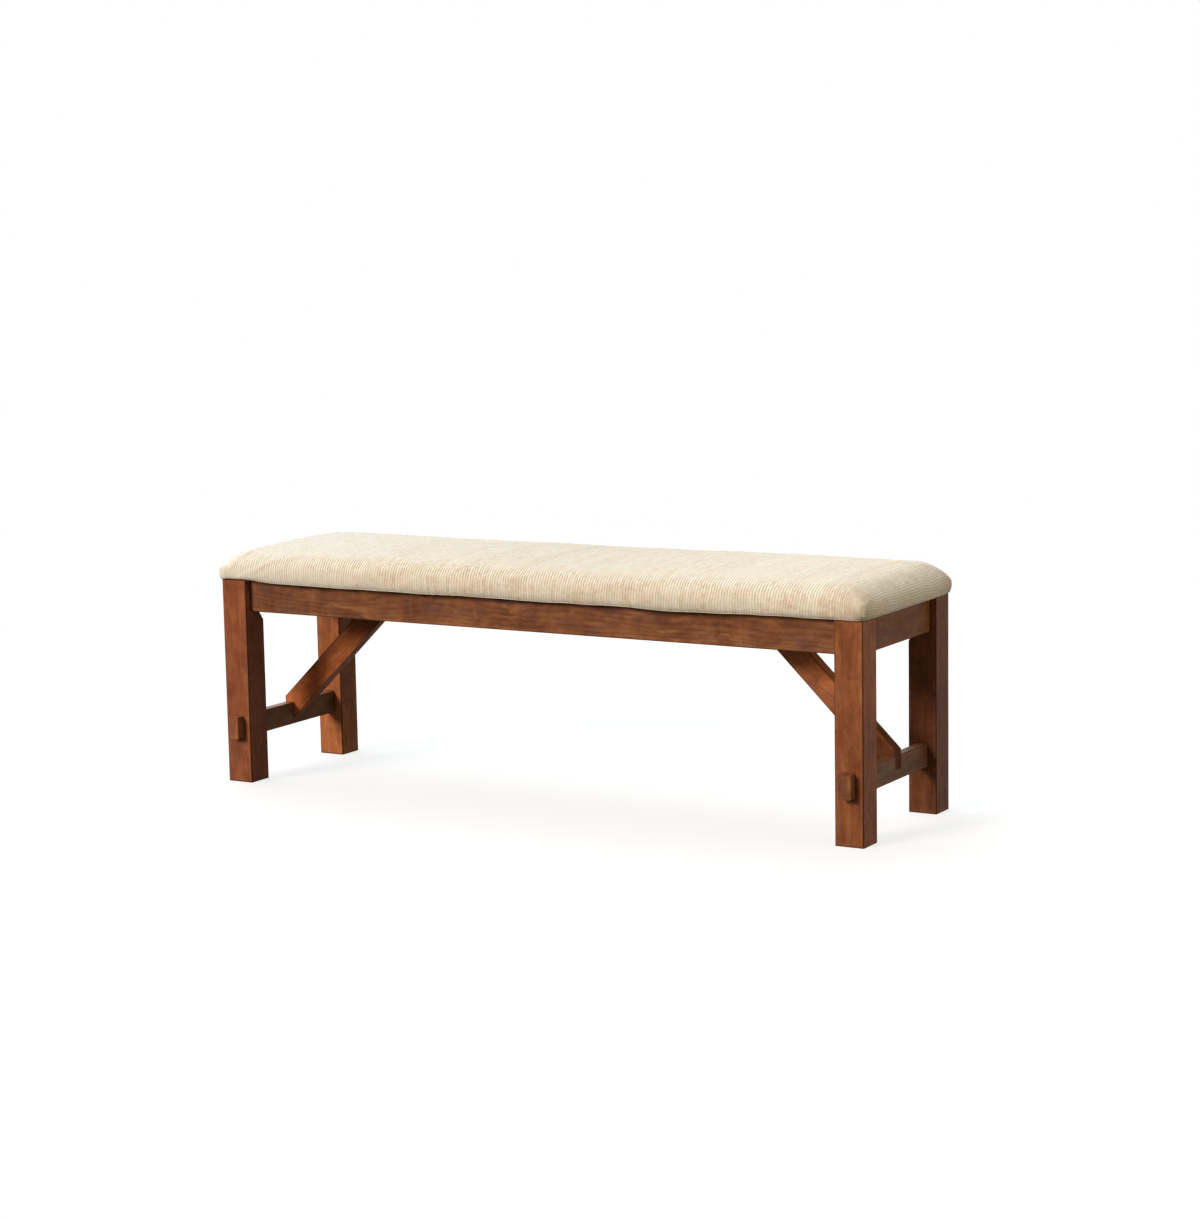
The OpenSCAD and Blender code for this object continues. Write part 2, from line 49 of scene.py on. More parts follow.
# The seat's form. Its base and crown follow the solids, its corners and turn under the photograph.
SEAT_BASE, CROWN_TOP = (corner.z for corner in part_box("seat_cover"))
WIDEST_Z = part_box("leg_front_left")[1].z + 19 * MM
HALF_X = 765 * MM
HALF_Y = 210 * MM
SEAT_ROUND = 60 * MM
SEAT_CROWN = 8 * MM
SEAT_CORNER = 23 * MM
SMALLEST_CORNER = 2 * MM
SEAT_BOW = 2 * MM
SEAT_TURN = 6 * MM
SETTLING_FADE = 10 * MM
END_ROUNDNESS = 1.85
SIDE_ROUNDNESS = 2.4
CROWN_END_SHARE = 1.2
CORNER_EASE_SHARE = 0.3
MOST_GATHERED = 2.2
# Angle of the turn under at the bottom edge, in radians
TURN_END = 0.8
# Share of the way down from the start of the round at which the seat is widest
WIDEST_SHARE = 0.77
# Levels closer than this are eased into one another
LEVEL_EASE = 0.16
# Share of the way to the bottom edge over which cords and stuffing fade out
EDGE_FADE = 0.08
TINY = 1e-9

# Layers of the seat
COVER_SKIN = 0.7 * MM
COVER_THICKNESS = 1.6 * MM
COVER_FOLD = 15 * MM
COVER_LIP = 45 * MM
WADDING_THICKNESS = 6 * MM
SOFT_GAP = 0.3 * MM
LAYER_INSETS = (20 * MM, 60 * MM)
LAYER_STEPS = 132

# The cords of the cover run from front to back
CORD_PITCH = 6.1 * MM
CORD_HEIGHT = 0.9 * MM
CORD_STEPS = 4
CORD_END_SHARE = 0.82
CORD_FADE = 20 * MM
STRETCH_FADE = 40 * MM
PILE_TWIST = 2.4 * MM

# Places where the stuffing has sunk or lifts the cloth: height, flat place, and reach along and across
SUNKEN = (
    (7.0 * MM, -0.79, -0.23, 0.12, 0.16),
    (4.0 * MM, -0.73, 0.2, 0.05, 0.06),
    (2.0 * MM, -0.45, 0.12, 0.34, 0.26),
)
FILLED = (
    (5.4 * MM, 0.52, 0.06, 0.3, 0.22),
    (3.0 * MM, 0.74, 0.14, 0.07, 0.1),
    (3.6 * MM, -0.8, -0.225, 0.06, 0.09),
)

# The roll that hangs in front of the rails, and where it is lower or higher: middle, reach and depth
ROLL_DEPTH = 5.0 * MM
ROLL_FROM_END = 72 * MM
ROLL_FADE = 95 * MM
ROLL_START = 0.55
ROLL_PLACES = (
    (-0.58, 0.14, 3.2 * MM), (-0.06, 0.08, 2.0 * MM), (0.32, 0.07, 2.5 * MM), (0.6, 0.1, -3.0 * MM),
)

# The cloth simulation blows up a coarse cover from a slightly smaller shape, held at its lip
SIM_SKIN = 3.0 * MM
SIM_CAP = 0.8 * MM
SIM_PULL = 1.2 * MM
SIM_PULL_CELL = 45 * MM
SIM_LIP = 12 * MM
SIM_FRAMES = 20
SIM_TIGHT = 0.6
# Widths, in grid lines, of what is even along and across the cover
SIM_BLURS = ((18, 1), (12, 0))
SIM_SETTINGS = {
    "quality": 6, "mass": 0.4, "tension_stiffness": 60, "compression_stiffness": 60,
    "shear_stiffness": 8, "bending_stiffness": 0.6, "use_pressure": True,
    "uniform_pressure_force": 4, "vertex_group_mass": "held",
}

# The sheet under the seat and its staples
DUST_THICKNESS = 0.35 * MM
DUST_GAP = 0.15 * MM
DUST_HELD = 25 * MM
DUST_WAVE = 0.45 * MM
DUST_SAG = 0.3 * MM
STAPLE_INSET = 6 * MM
STAPLE_ROW_X = 660 * MM
STAPLE_ROW_Y = 110 * MM
STAPLE_RADIUS = 0.32 * MM
STAPLE_HALF = 5.2 * MM
STAPLE_BEND = 0.25 * MM
STAPLE_LEG = 0.9 * MM
STAPLE_DROP = 0.55 * MM
STAPLE_SLIP = 3 * MM
STAPLE_SIDES = 6

BRACE_ANGLE = math.radians(44.2)
BRACE_WIDTH = 49 * MM
BRACE_THICKNESS = 26 * MM
BRACE_TOE_TOP = 156.2 * MM

# Sizes in the wood: growth rings, fibres, the glaze along edges, the painted shade where pieces meet and
# the eased edges
RING_WIDTH = 7.5 * MM
RING_BEND = 55 * MM
RING_RIPPLE = 6 * MM
FIBRE_WANDER = 45 * MM
GLAZE_WIDTH = 3.6 * MM
RUBBED_WIDTH = 8 * MM
MEETING_REACH = 5 * MM
EASE_WIDTH = 0.7 * MM
WELD_REACH = 0.005 * MM
# Rays of each look for an edge
EDGE_RAYS = 4


# Node trees

class Tree:
    """The nodes of a new material or world. Inputs go by name or index, as values or sockets."""

    def __init__(self, name, kind="materials"):
        self.owner = getattr(bpy.data, kind).new(name)
        self.owner.use_nodes = True
        self.tree = self.owner.node_tree
        self.tree.nodes.clear()

    def add(self, kind, inputs=None, **settings):
        node = self.tree.nodes.new(kind)
        for key, value in settings.items():
            setattr(node, key, value)
        for key, value in (inputs or {}).items():
            if isinstance(value, bpy.types.NodeSocket):
                self.tree.links.new(value, node.inputs[key])
            else:
                node.inputs[key].default_value = value
        return node

    def place(self):
        """The place on the piece, in its own coordinates."""
        return self.add("ShaderNodeTexCoord").outputs["Object"]

    def math(self, operation, *values, clamp=False):
        node = self.add("ShaderNodeMath", dict(enumerate(values)), operation=operation, use_clamp=clamp)
        return node.outputs[0]

    def plus(self, first, second, clamp=False):
        return self.math("ADD", first, second, clamp=clamp)

    def minus(self, first, second):
        return self.math("SUBTRACT", first, second)

    def times(self, first, second, clamp=False):
        return self.math("MULTIPLY", first, second, clamp=clamp)

    def weighed(self, value, parts):
        """The value with a share of each part added."""
        for part, share in parts:
            value = self.math("MULTIPLY_ADD", part, share, value)
        return value

    def vector_math(self, operation, first, second=(0, 0, 0), output=0):
        node = self.add("ShaderNodeVectorMath", {0: first, 1: second}, operation=operation)
        return node.outputs[output]

    def combine(self, x, y, z):
        return self.add("ShaderNodeCombineXYZ", {0: x, 1: y, 2: z}).outputs[0]

    def separate(self, vector):
        return self.add("ShaderNodeSeparateXYZ", {0: vector}).outputs[:]

    def range(self, value, low, high, to_low=0.0, to_high=1.0, kind="SMOOTHSTEP"):
        inputs = {0: value, 1: low, 2: high, 3: to_low, 4: to_high}
        return self.add("ShaderNodeMapRange", inputs, interpolation_type=kind).outputs[0]

    def mix(self, share, first, second, blend="MIX"):
        """Mixes two colours, given as sockets or as three numbers."""
        first, second = ((*c, 1) if isinstance(c, tuple) else c for c in (first, second))
        inputs = {0: share, 6: first, 7: second}
        return self.add("ShaderNodeMix", inputs, data_type="RGBA", blend_type=blend).outputs[2]

    def ramp(self, value, stops):
        node = self.add("ShaderNodeValToRGB", {0: value})
        elements = node.color_ramp.elements
        while len(elements) < len(stops):
            elements.new(0.5)
        for element, (position, colour) in zip(elements, stops):
            element.position = position
            element.color = (*colour, 1)
        return node.outputs[0]

    def noise(self, vector, scale, detail=3.0, roughness=0.6, distortion=0.0):
        """Noise at one scale, or at a scale for each axis."""
        if isinstance(scale, tuple):
            vector, scale = self.vector_math("MULTIPLY", vector, scale), 1.0
        return self.add("ShaderNodeTexNoise", {
            "Vector": vector, "Scale": scale, "Detail": detail,
            "Roughness": roughness, "Distortion": distortion}).outputs[0]

    def occlusion(self, distance, **settings):
        inputs = {"Distance": distance}
        return self.add("ShaderNodeAmbientOcclusion", inputs, samples=EDGE_RAYS, **settings).outputs["AO"]

    def bump(self, height, strength, distance, **under):
        inputs = {"Strength": strength, "Distance": distance, "Height": height, **under}
        return self.add("ShaderNodeBump", inputs).outputs[0]

    def end(self, shader, kind="ShaderNodeOutputMaterial"):
        self.add(kind, {0: shader})
        return self.owner

    def finish(self, colour, roughness, normal, **values):
        """A Principled shader. Its further inputs are named with _ for each space."""
        inputs = {"Base Color": colour, "Roughness": roughness, "Normal": normal}
        for key, value in values.items():
            inputs[key.replace("_", " ")] = value
        return self.end(self.add("ShaderNodeBsdfPrincipled", inputs).outputs[0])


# Wood

STAINED = {
    "tones": ((0.23, 0.078, 0.036), (0.345, 0.118, 0.051), (0.43, 0.153, 0.064), (0.55, 0.215, 0.09)),
    "cloud": (0.195, 0.09, 0.078),
    "rubbed": (0.68, 0.27, 0.1),
    "glaze_and_joint_shade": (0.06, 0.022, 0.013),
    "pore": (0.1, 0.034, 0.018),
    "roughness": 0.42, "gloss": 0.045,
}
PLAIN = {
    "tones": ((0.36, 0.21, 0.105), (0.47, 0.29, 0.155), (0.54, 0.35, 0.195), (0.62, 0.43, 0.26)),
    "cloud": (0.36, 0.23, 0.13),
    "rubbed": (0.6, 0.42, 0.26),
    "glaze_and_joint_shade": (0.3, 0.17, 0.08),
    "pore": (0.26, 0.14, 0.07),
    "roughness": 0.68, "gloss": 0.3,
}
BEECH = {
    "tones": ((0.52, 0.34, 0.2), (0.6, 0.41, 0.25), (0.66, 0.47, 0.3), (0.72, 0.54, 0.36)),
    "cloud": (0.56, 0.38, 0.23),
    "rubbed": (0.7, 0.52, 0.35),
    "glaze_and_joint_shade": (0.4, 0.25, 0.14),
    "pore": (0.36, 0.21, 0.11),
    "roughness": 0.62, "gloss": 0.3,
}
TONE_STOPS = (0.12, 0.42, 0.62, 0.9)


def late_wood(t, grain, from_pith):
    """1 in the dark part of each ring. Boards are sawn from rings round a pith that lies outside them."""
    x, y, _ = t.separate(from_pith)
    radius = t.math("SQRT", t.plus(t.times(x, x), t.times(y, y)))
    radius = t.plus(radius, t.times(t.noise(grain, (9, 9, 2.2), 2.0, 0.5), RING_BEND))
    radius = t.plus(radius, t.times(t.noise(grain, (45, 45, 7), 2.0, 0.55), RING_RIPPLE))
    rings = t.math("FRACT", t.math("DIVIDE", radius, RING_WIDTH))
    return t.times(t.range(rings, 0.35, 0.95), t.range(rings, 1.0, 0.94))


def fibre_flow(t, grain, away, figure):
    """The place in the grain, for fibres that run the length of the board and wander sideways."""
    swings = [t.minus(t.noise(where, (6, 6, 6.5), 2.0, 0.5), 0.5) for where in (grain, away)]
    wander = [t.times(swing, FIBRE_WANDER * figure) for swing in swings]
    return t.vector_math("ADD", grain, t.combine(*wander, 0.0))


def stain_colour(t, look, figure, grain, away, flow, late, fibre, streak, mottle):
    """Colour of the stain, which lies unevenly: in clouds, and in streaks that are rubbed brighter."""
    blotch = t.noise(grain, (13, 13, 7), 3.0, 0.6, 0.6)
    flame = t.noise(flow, (16, 16, 60), 2.0, 0.5, 0.4)
    parts = ((blotch, 0.44), (mottle, 0.56), (streak, 0.24), (fibre, 0.2), (flame, 0.12 * figure))
    tone = t.weighed(t.times(late, -0.06 * figure), parts)
    middle = sum(share for _, share in parts) / 2 - 0.026 * figure
    contrast = 1.6 + 0.5 * figure
    tone = t.plus(t.times(t.minus(tone, middle), contrast), 0.5, clamp=True)
    colour = t.ramp(tone, tuple(zip(TONE_STOPS, look["tones"])))
    clouded = t.range(t.noise(away, (24, 24, 9), 3.0, 0.6, 0.5), 0.5, 0.72)
    colour = t.mix(t.times(clouded, 0.42 * figure), colour, look["cloud"])
    bright = t.range(t.noise(flow, (70, 70, 7)), 0.56, 0.72)
    return t.mix(t.times(bright, 0.4 * figure), colour, look["rubbed"])


def open_pores(t, flow):
    """1 in the open pores and mineral flecks, which are short dark dashes."""
    dash = t.range(t.noise(flow, (1150, 1150, 75), 1.0, 0.5), 0.66, 0.76)
    fleck = t.range(t.noise(flow, (190, 190, 60), 2.0, 0.5), 0.66, 0.78)
    return t.plus(t.times(dash, 0.42), t.times(fleck, 0.5), clamp=True)


def edge_glaze_and_joint_shade(t, look, colour, local, grain, half, lined):
    """The glaze gathers along the edges, next to a strip that is rubbed a little lighter. Where pieces
    meet, painted shade darkens the wood.
    """
    # The middle one of the three distances to the box's faces is the distance to an edge
    dx, dy, dz = t.separate(t.vector_math("SUBTRACT", tuple(half), t.vector_math("ABSOLUTE", local)))
    near, far = t.math("MINIMUM", dx, dy), t.math("MAXIMUM", dx, dy)
    edge = t.math("MAXIMUM", near, t.math("MINIMUM", far, dz))
    rub = t.noise(grain, (90, 90, 90))
    lighter = t.range(edge, RUBBED_WIDTH, GLAZE_WIDTH)
    colour = t.mix(t.times(lighter, t.range(rub, 0.35, 0.7, 0.0, 0.22)), colour, look["rubbed"])
    strip = t.range(rub, 0.3, 0.75, GLAZE_WIDTH / 2, GLAZE_WIDTH)
    dark = t.range(t.math("DIVIDE", edge, strip), 1.0, 0.4)
    # Short rays inside the piece find its other edges, for the glaze. Rays outside find where pieces meet
    # and paint shade there, in part glaze gathered in the joints.
    thin = t.range(t.occlusion(GLAZE_WIDTH, inside=True, only_local=True), 0.93, 0.68)
    painted_joint_shade = t.range(t.occlusion(MEETING_REACH), 0.9, 0.5, 0.0, 0.8)
    dark = t.math("MAXIMUM", t.math("MAXIMUM", dark, thin), painted_joint_shade)
    return t.mix(t.times(dark, lined), colour, look["glaze_and_joint_shade"])


def wood_material(node, look, turn, centre, half, figure=1.0, tint=(1, 1, 1), lined=0.66, foot=None):
    """Wood whose grain runs along local Z. turn is the Euler rotation of the piece's length onto Z.
    centre and half are the middle and half sizes of its box. tint is the board's own tone
    together with painted light and shade for how the part lies in the light, and lined is how dark the
    glaze lies along its edges and the painted shade where pieces meet. foot holds two
    heights and the colour's shares there: painted shade and light that change with height."""
    t = Tree("wood_" + node)
    place = t.place()
    offset = Vector(draws.uniform(0.3, 3.0) for _ in range(3))
    pith = Vector((draws.uniform(-0.05, 0.05), draws.uniform(0.05, 0.11), 0))
    local = t.add("ShaderNodeMapping", {"Vector": t.vector_math("SUBTRACT", place, centre),
                                        "Rotation": turn}).outputs[0]
    grain = t.vector_math("ADD", local, offset)
    away = t.vector_math("ADD", grain, (3.7, 1.9, 5.3))
    flow = fibre_flow(t, grain, away, figure)
    late = late_wood(t, grain, t.vector_math("ADD", local, pith))
    fibre = t.noise(flow, (420, 420, 16))
    streak = t.noise(flow, (85, 85, 4))
    mottle = t.noise(flow, (38, 38, 24), 4.0, 0.65, 0.3)
    colour = stain_colour(t, look, figure, grain, away, flow, late, fibre, streak, mottle)
    colour = t.mix(1.0, colour, tint, "MULTIPLY")
    # Painted shade and light that change with height: a part is painted darker or lighter towards the
    # floor, as the light on it falls
    if foot:
        share = t.range(t.separate(place)[2], *foot)
        colour = t.mix(1.0, colour, t.combine(share, share, share), "MULTIPLY")
    pore = open_pores(t, flow)
    colour = t.mix(pore, colour, look["pore"])
    colour = edge_glaze_and_joint_shade(t, look, colour, local, grain, half, lined)

    gloss = t.noise(grain, (60, 60, 20))
    roughness = t.range(gloss, 0.25, 0.75, look["roughness"] - 0.07, look["roughness"] + 0.09, "LINEAR")
    roughness = t.math("MULTIPLY_ADD", pore, 0.18, roughness)
    normal = t.bump(t.minus(t.times(fibre, 0.35), t.times(pore, 0.8)), 0.35, 0.15 * MM)
    normal = t.bump(t.plus(mottle, t.times(streak, 0.4)), 0.25, 0.6 * MM, Normal=normal)
    return t.finish(colour, roughness, normal, Specular_IOR_Level=look["gloss"])


# Boards differ a little in tone, and these tones also hold painted light and shade: parts that lie in shade
# are painted darker, lit ones lighter
RAIL_TINT = (0.59, 0.67, 0.76)
END_TINT = (0.49, 0.53, 0.46)
CAP_TINTS = {"left": (0.8, 0.84, 1.0), "right": (0.54, 0.63, 0.74)}
STRETCHER_TINTS = {"left": (0.62, 0.82, 0.98), "right": (0.42, 0.57, 0.69)}
# The legs' tones paint in light and shade: the back right leg is painted dark, as it lies in shade
LEGS = {
    "leg_front_left": {"tint": (0.76, 0.71, 0.76), "foot": (0.05, 0.42, 0.9, 1.05)},
    "leg_front_right": {"tint": (0.72, 0.71, 0.7), "foot": (0.05, 0.42, 0.88, 1.04)},
    "leg_back_left": {"tint": (1.06, 1.04, 0.98), "foot": (0.05, 0.42, 1.1, 0.82)},
    "leg_back_right": {"tint": (0.45, 0.44, 0.46), "foot": (0.05, 0.42, 0.82, 0.92)},
}
# The braces' tones hold painted light: the right one is painted lighter, and much darker towards its toe,
# where it lies in shade
BRACES = {
    "brace_left": {"tint": (1.0, 0.86, 0.76), "foot": (0.16, 0.3, 1.3, 0.98)},
    "brace_right": {"tint": (1.5, 1.5, 1.45), "foot": (0.18, 0.3, 0.2, 1.22)},
}

TURN_ALONG = {"x": (0, -math.pi / 2, 0), "y": (math.pi / 2, 0, 0), "z": (0, 0, 0)}


def dress(node, material):
    for slot in NODES[node].material_slots:
        slot.material = material


def dress_box_wood(node, along, look=STAINED, **details):
    """Dresses a board whose length runs along one axis. details are those of wood_material."""
    low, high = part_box(node)
    turn = TURN_ALONG[along]
    spun = Euler(turn).to_matrix() @ ((high - low) / 2)
    half = [abs(size) for size in spun]
    dress(node, wood_material(node, look, turn, (low + high) / 2, half, **details))


def dress_brace(node, side):
    low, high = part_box(node)
    turn = (0, side * (math.pi / 2 - BRACE_ANGLE), 0)
    middle_z = (low.z + high.z) / 2
    outer = max(abs(low.x), abs(high.x))
    drop = (middle_z - BRACE_TOE_TOP) / math.tan(BRACE_ANGLE)
    middle_x = outer - drop - BRACE_WIDTH / math.sin(BRACE_ANGLE) / 2
    centre = Vector((side * middle_x, 0, middle_z))
    half = (BRACE_WIDTH / 2, BRACE_THICKNESS / 2, high.z)
    look = {**STAINED, "gloss": 0.01}
    dress(node, wood_material(node, look, turn, centre, half, 1.2, lined=0.5, **BRACES[node]))


def ease_edges(piece):
    """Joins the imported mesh's split faces and takes the sharpness off its edges."""
    piece.modifiers.new("weld", "WELD").merge_threshold = WELD_REACH
    bevel = piece.modifiers.new("ease", "BEVEL")
    bevel.width = EASE_WIDTH
    bevel.segments = 2
    bevel.angle_limit = math.radians(42)
    bevel.harden_normals = True


def dress_wood():
    for y in ("front", "back"):
        dress_box_wood("long_rail_" + y, "x", figure=1.5, tint=RAIL_TINT)
        for x in ("left", "right"):
            leg = f"leg_{y}_{x}"
            dress_box_wood(leg, "z", figure=0.8, lined=0.92, **LEGS[leg])
            dress_box_wood(f"tenon_cap_{y}_{x}", "z", tint=CAP_TINTS[x], lined=0.3)
            dress_box_wood(f"corner_block_{y}_{x}", "x", PLAIN)
    for x, side in (("left", -1), ("right", 1)):
        dress_box_wood("end_rail_" + x, "y", figure=1.2, tint=END_TINT)
        dress_box_wood("end_stretcher_" + x, "y", tint=STRETCHER_TINTS[x], lined=0.5)
        dress_box_wood("brace_rail_" + x, "y")
        dress_brace("brace_" + x, side)
    dress_box_wood("centre_rail", "y", PLAIN)
    dress_box_wood("rail_dowels", "x", BEECH)
    for node, piece in NODES.items():
        if piece.data.materials[0].name.startswith("wood_") and node != "rail_dowels":
            ease_edges(piece)


# Metal, plywood, foam, wadding and dust cloth

def steel_material():
    t = Tree("zinc_steel")
    place = t.place()
    spangle = t.noise(place, 420)
    brushed = t.noise(place, (900, 900, 6000), 2.0, 0.5)
    dull = t.noise(place, 60, 3.0, 0.6, 0.5)
    colour = t.ramp(dull, (
        (0.3, (0.42, 0.41, 0.38)), (0.55, (0.6, 0.59, 0.56)), (0.75, (0.7, 0.68, 0.62))))
    roughness = t.range(t.plus(spangle, t.times(dull, 0.6)), 0.5, 1.1, 0.26, 0.48)
    normal = t.bump(t.plus(brushed, spangle), 0.25, 0.05 * MM)
    return t.finish(colour, roughness, normal, Metallic=1.0)


def plywood_material():
    """Birch plywood of five plies, laid crosswise in turn, with dark lines of glue between them."""
    t = Tree("birch_plywood")
    place = t.place()
    low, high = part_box("seat_board")
    ply = t.math("DIVIDE", t.minus(t.separate(place)[2], low.z), (high.z - low.z) / 5)
    crossed = t.math("MODULO", t.math("FLOOR", ply), 2.0)
    lengthwise = t.noise(place, (14, 420, 420))
    crosswise = t.noise(place, (420, 14, 420))
    fibre = t.add("ShaderNodeMix", {0: crossed, 2: lengthwise, 3: crosswise}).outputs[0]
    cloud = t.noise(place, 22)
    glue = t.range(t.math("ABSOLUTE", t.minus(t.math("FRACT", ply), 0.5)), 0.46, 0.5)
    tone = t.plus(t.times(fibre, 0.6), t.times(cloud, 0.4))
    colour = t.ramp(tone, ((0.3, (0.46, 0.31, 0.18)), (0.5, (0.58, 0.42, 0.26)), (0.7, (0.68, 0.52, 0.34))))
    colour = t.mix(t.times(glue, 0.6), colour, (0.22, 0.12, 0.06))
    roughness = t.range(cloud, 0.3, 0.7, 0.62, 0.78)
    return t.finish(colour, roughness, t.bump(fibre, 0.4, 0.2 * MM))


def foam_material():
    t = Tree("open_cell_foam")
    place = t.place()
    cells = t.add("ShaderNodeTexVoronoi", {"Vector": place, "Scale": 900.0}).outputs["Distance"]
    cloud = t.noise(place, 18)
    colour = t.ramp(cloud, ((0.3, (0.66, 0.56, 0.3)), (0.7, (0.8, 0.72, 0.44))))
    colour = t.mix(t.range(cells, 0.5, 0.0, 0.0, 0.5), colour, (0.42, 0.34, 0.16))
    roughness = t.range(cloud, 0.3, 0.7, 0.88, 0.98)
    return t.finish(colour, roughness, t.bump(cells, 0.6, 0.5 * MM))


def wadding_material():
    t = Tree("polyester_wadding")
    place = t.place()
    fluff = t.noise(place, 130, 5.0, 0.7, 1.2)
    tone = t.plus(t.times(fluff, 0.6), t.times(t.noise(place, 14), 0.4))
    colour = t.ramp(tone, ((0.3, (0.7, 0.7, 0.69)), (0.7, (0.86, 0.86, 0.85))))
    roughness = t.range(fluff, 0.3, 0.7, 0.86, 0.97)
    return t.finish(colour, roughness, t.bump(fluff, 0.7, 2 * MM), Sheen_Weight=0.2)


def dust_cloth_material():
    """Black non-woven cloth with a grid of small bonded points."""
    t = Tree("non_woven_cloth")
    place = t.place()
    x, y, _ = t.separate(place)
    fibre = t.noise(place, 700, 4.0, 0.7, 1.5)
    columns = t.math("PINGPONG", t.plus(x, y), 1.1 * MM)
    rows = t.math("PINGPONG", t.minus(x, y), 1.1 * MM)
    bond = t.range(t.plus(columns, rows), 0.9 * MM, 0.4 * MM)
    tone = t.plus(t.times(fibre, 0.5), t.times(t.noise(place, 16), 0.5))
    colour = t.ramp(tone, ((0.3, (0.008, 0.008, 0.009)), (0.7, (0.03, 0.03, 0.032))))
    roughness = t.minus(t.range(fibre, 0.3, 0.7, 0.72, 0.95), t.times(bond, 0.25))
    normal = t.bump(t.minus(fibre, bond), 0.6, 0.25 * MM)
    return t.finish(colour, roughness, normal, Sheen_Weight=0.15)


# The cover's chenille. Its attribute holds the cloth's own flat coordinates, which the cords follow.

def cord_sockets(t, u, far_u):
    """The number of the cord at u, and the place across it from -0.5 to 0.5."""
    level = t.math("MINIMUM", far_u, FLAT_X)
    cords = t.plus(level, t.math("DIVIDE", t.minus(far_u, level), CORD_END_SHARE))
    cords = t.math("DIVIDE", t.times(cords, t.math("SIGN", u)), CORD_PITCH)
    return t.math("FLOOR", cords), t.minus(t.math("FRACT", cords), 0.5)


def painted_seat_light(t, u, far_v):
    """What is added to the tone: painted light that makes the left end paler, painted shade from the right
    end of the top onward, and painted light down the fall of the right end, turning to painted shade at its
    corners.
    """
    tone = t.range(u, -0.25, -0.65, -0.11, -0.01)
    tone = t.plus(tone, t.range(u, FLAT_X - 60 * MM, FLAT_X + 20 * MM, 0.0, -0.08))
    painted_end_light = t.range(u, FLAT_X + 30 * MM, FLAT_X + 70 * MM, 0.0, 0.14)
    off_corner = t.range(far_v, FLAT_Y - 20 * MM, FLAT_Y + 40 * MM, 1.0, -0.3)
    return t.math("MULTIPLY_ADD", painted_end_light, off_corner, tone)


def chenille_colour(t, flat, tone):
    """Yarn of several tones, with patches of rose and moss."""
    colour = t.ramp(tone, (
        (0.36, (0.7, 0.6, 0.46)), (0.45, (0.84, 0.77, 0.63)),
        (0.54, (0.93, 0.89, 0.78)), (0.66, (0.95, 0.93, 0.87))))
    rose = t.range(t.noise(flat, (44, 50, 0), 2.0, 0.5), 0.5, 0.7, 0.0, 0.55)
    colour = t.mix(rose, colour, (0.87, 0.73, 0.64))
    away = t.vector_math("ADD", flat, (2.3, 4.1, 0))
    moss = t.range(t.noise(away, (48, 42, 0), 2.0, 0.5, 0.5), 0.5, 0.7, 0.0, 0.5)
    return t.mix(moss, colour, (0.81, 0.8, 0.66))


def chenille_material():
    t = Tree("ribbed_chenille")
    flat = t.add("ShaderNodeAttribute", attribute_name="cloth_place").outputs["Vector"]
    u, v, _ = t.separate(flat)
    far_u, far_v = t.math("ABSOLUTE", u), t.math("ABSOLUTE", v)
    number, across = cord_sockets(t, u, far_u)

    # Yarn is spun from several tones, so each cord changes along its length
    slub = t.noise(t.combine(t.times(number, 1.7), t.times(v, 85), 0.0), 1.0, 4.0, 0.72)
    mottle = t.noise(flat, (58, 58, 0), 3.0, 0.6, 0.8)
    patch = t.noise(flat, (15, 19, 0), 2.0, 0.5)
    fleck = t.noise(flat, (620, 480, 0), 3.0, 0.7)
    cord_tone = t.add("ShaderNodeTexWhiteNoise", {"W": number}, noise_dimensions="1D").outputs[0]
    parts = ((slub, 0.42), (fleck, 0.3), (mottle, 0.28), (patch, 0.1), (cord_tone, 0.1))
    # The tone starts from painted light and shade along the seat, to which the yarn's own tones are added
    colour = chenille_colour(t, flat, t.weighed(painted_seat_light(t, u, far_v), parts))

    # The gaps between the cords are painted darker, partly the cloth's ground between them and partly
    # painted shade in the grooves. Over the ends the cords are pulled flatter and their gaps show less.
    # Over the top and upper round the gap shade is painted stronger, over the lower front and back weaker,
    # so the lower part is painted lighter.
    gap = t.math("POWER", t.times(t.math("ABSOLUTE", across), 2.0), 2.4)
    ends = t.range(far_u, FLAT_X, FLAT_X + STRETCH_FADE, 1.0, 0.62)
    painted_shade_across = t.range(far_v, FLAT_Y + 40 * MM, FLAT_Y + 85 * MM, 1.25, 0.54)
    shade = t.times(t.times(gap, ends), t.range(slub, 0.3, 0.7, 1.0, 0.7))
    colour = t.mix(t.times(shade, painted_shade_across, clamp=True), colour, (0.36, 0.255, 0.165))

    # The pile of each cord is twisted, and its tips are ragged
    turns = t.math("MULTIPLY_ADD", v, 2 * math.pi / PILE_TWIST, t.times(across, 7.0))
    ragged = t.noise(flat, (1400, 1000, 0), 2.0, 0.7)
    height = t.plus(t.times(t.math("SINE", turns), 0.18), ragged)
    normal = t.bump(t.math("MULTIPLY_ADD", fleck, 0.8, height), 0.55, 0.5 * MM)
    roughness = t.range(fleck, 0.3, 0.7, 0.82, 0.96)
    return t.finish(colour, roughness, normal, Sheen_Weight=0.22, Specular_IOR_Level=0.25)


# The seat's surface, over the flat coordinates of the cloth: u along the bench, v across it

def clipped(value):
    return np.clip(value, 0, 1)


def eased(share):
    return share ** 2 * (3 - 2 * share)


def rise(share, roundness):
    left = 1 - clipped(share)
    return (1 - left ** roundness) ** (1 / roundness)


def swell(share):
    return 1 - (1 - clipped(share)) ** 2


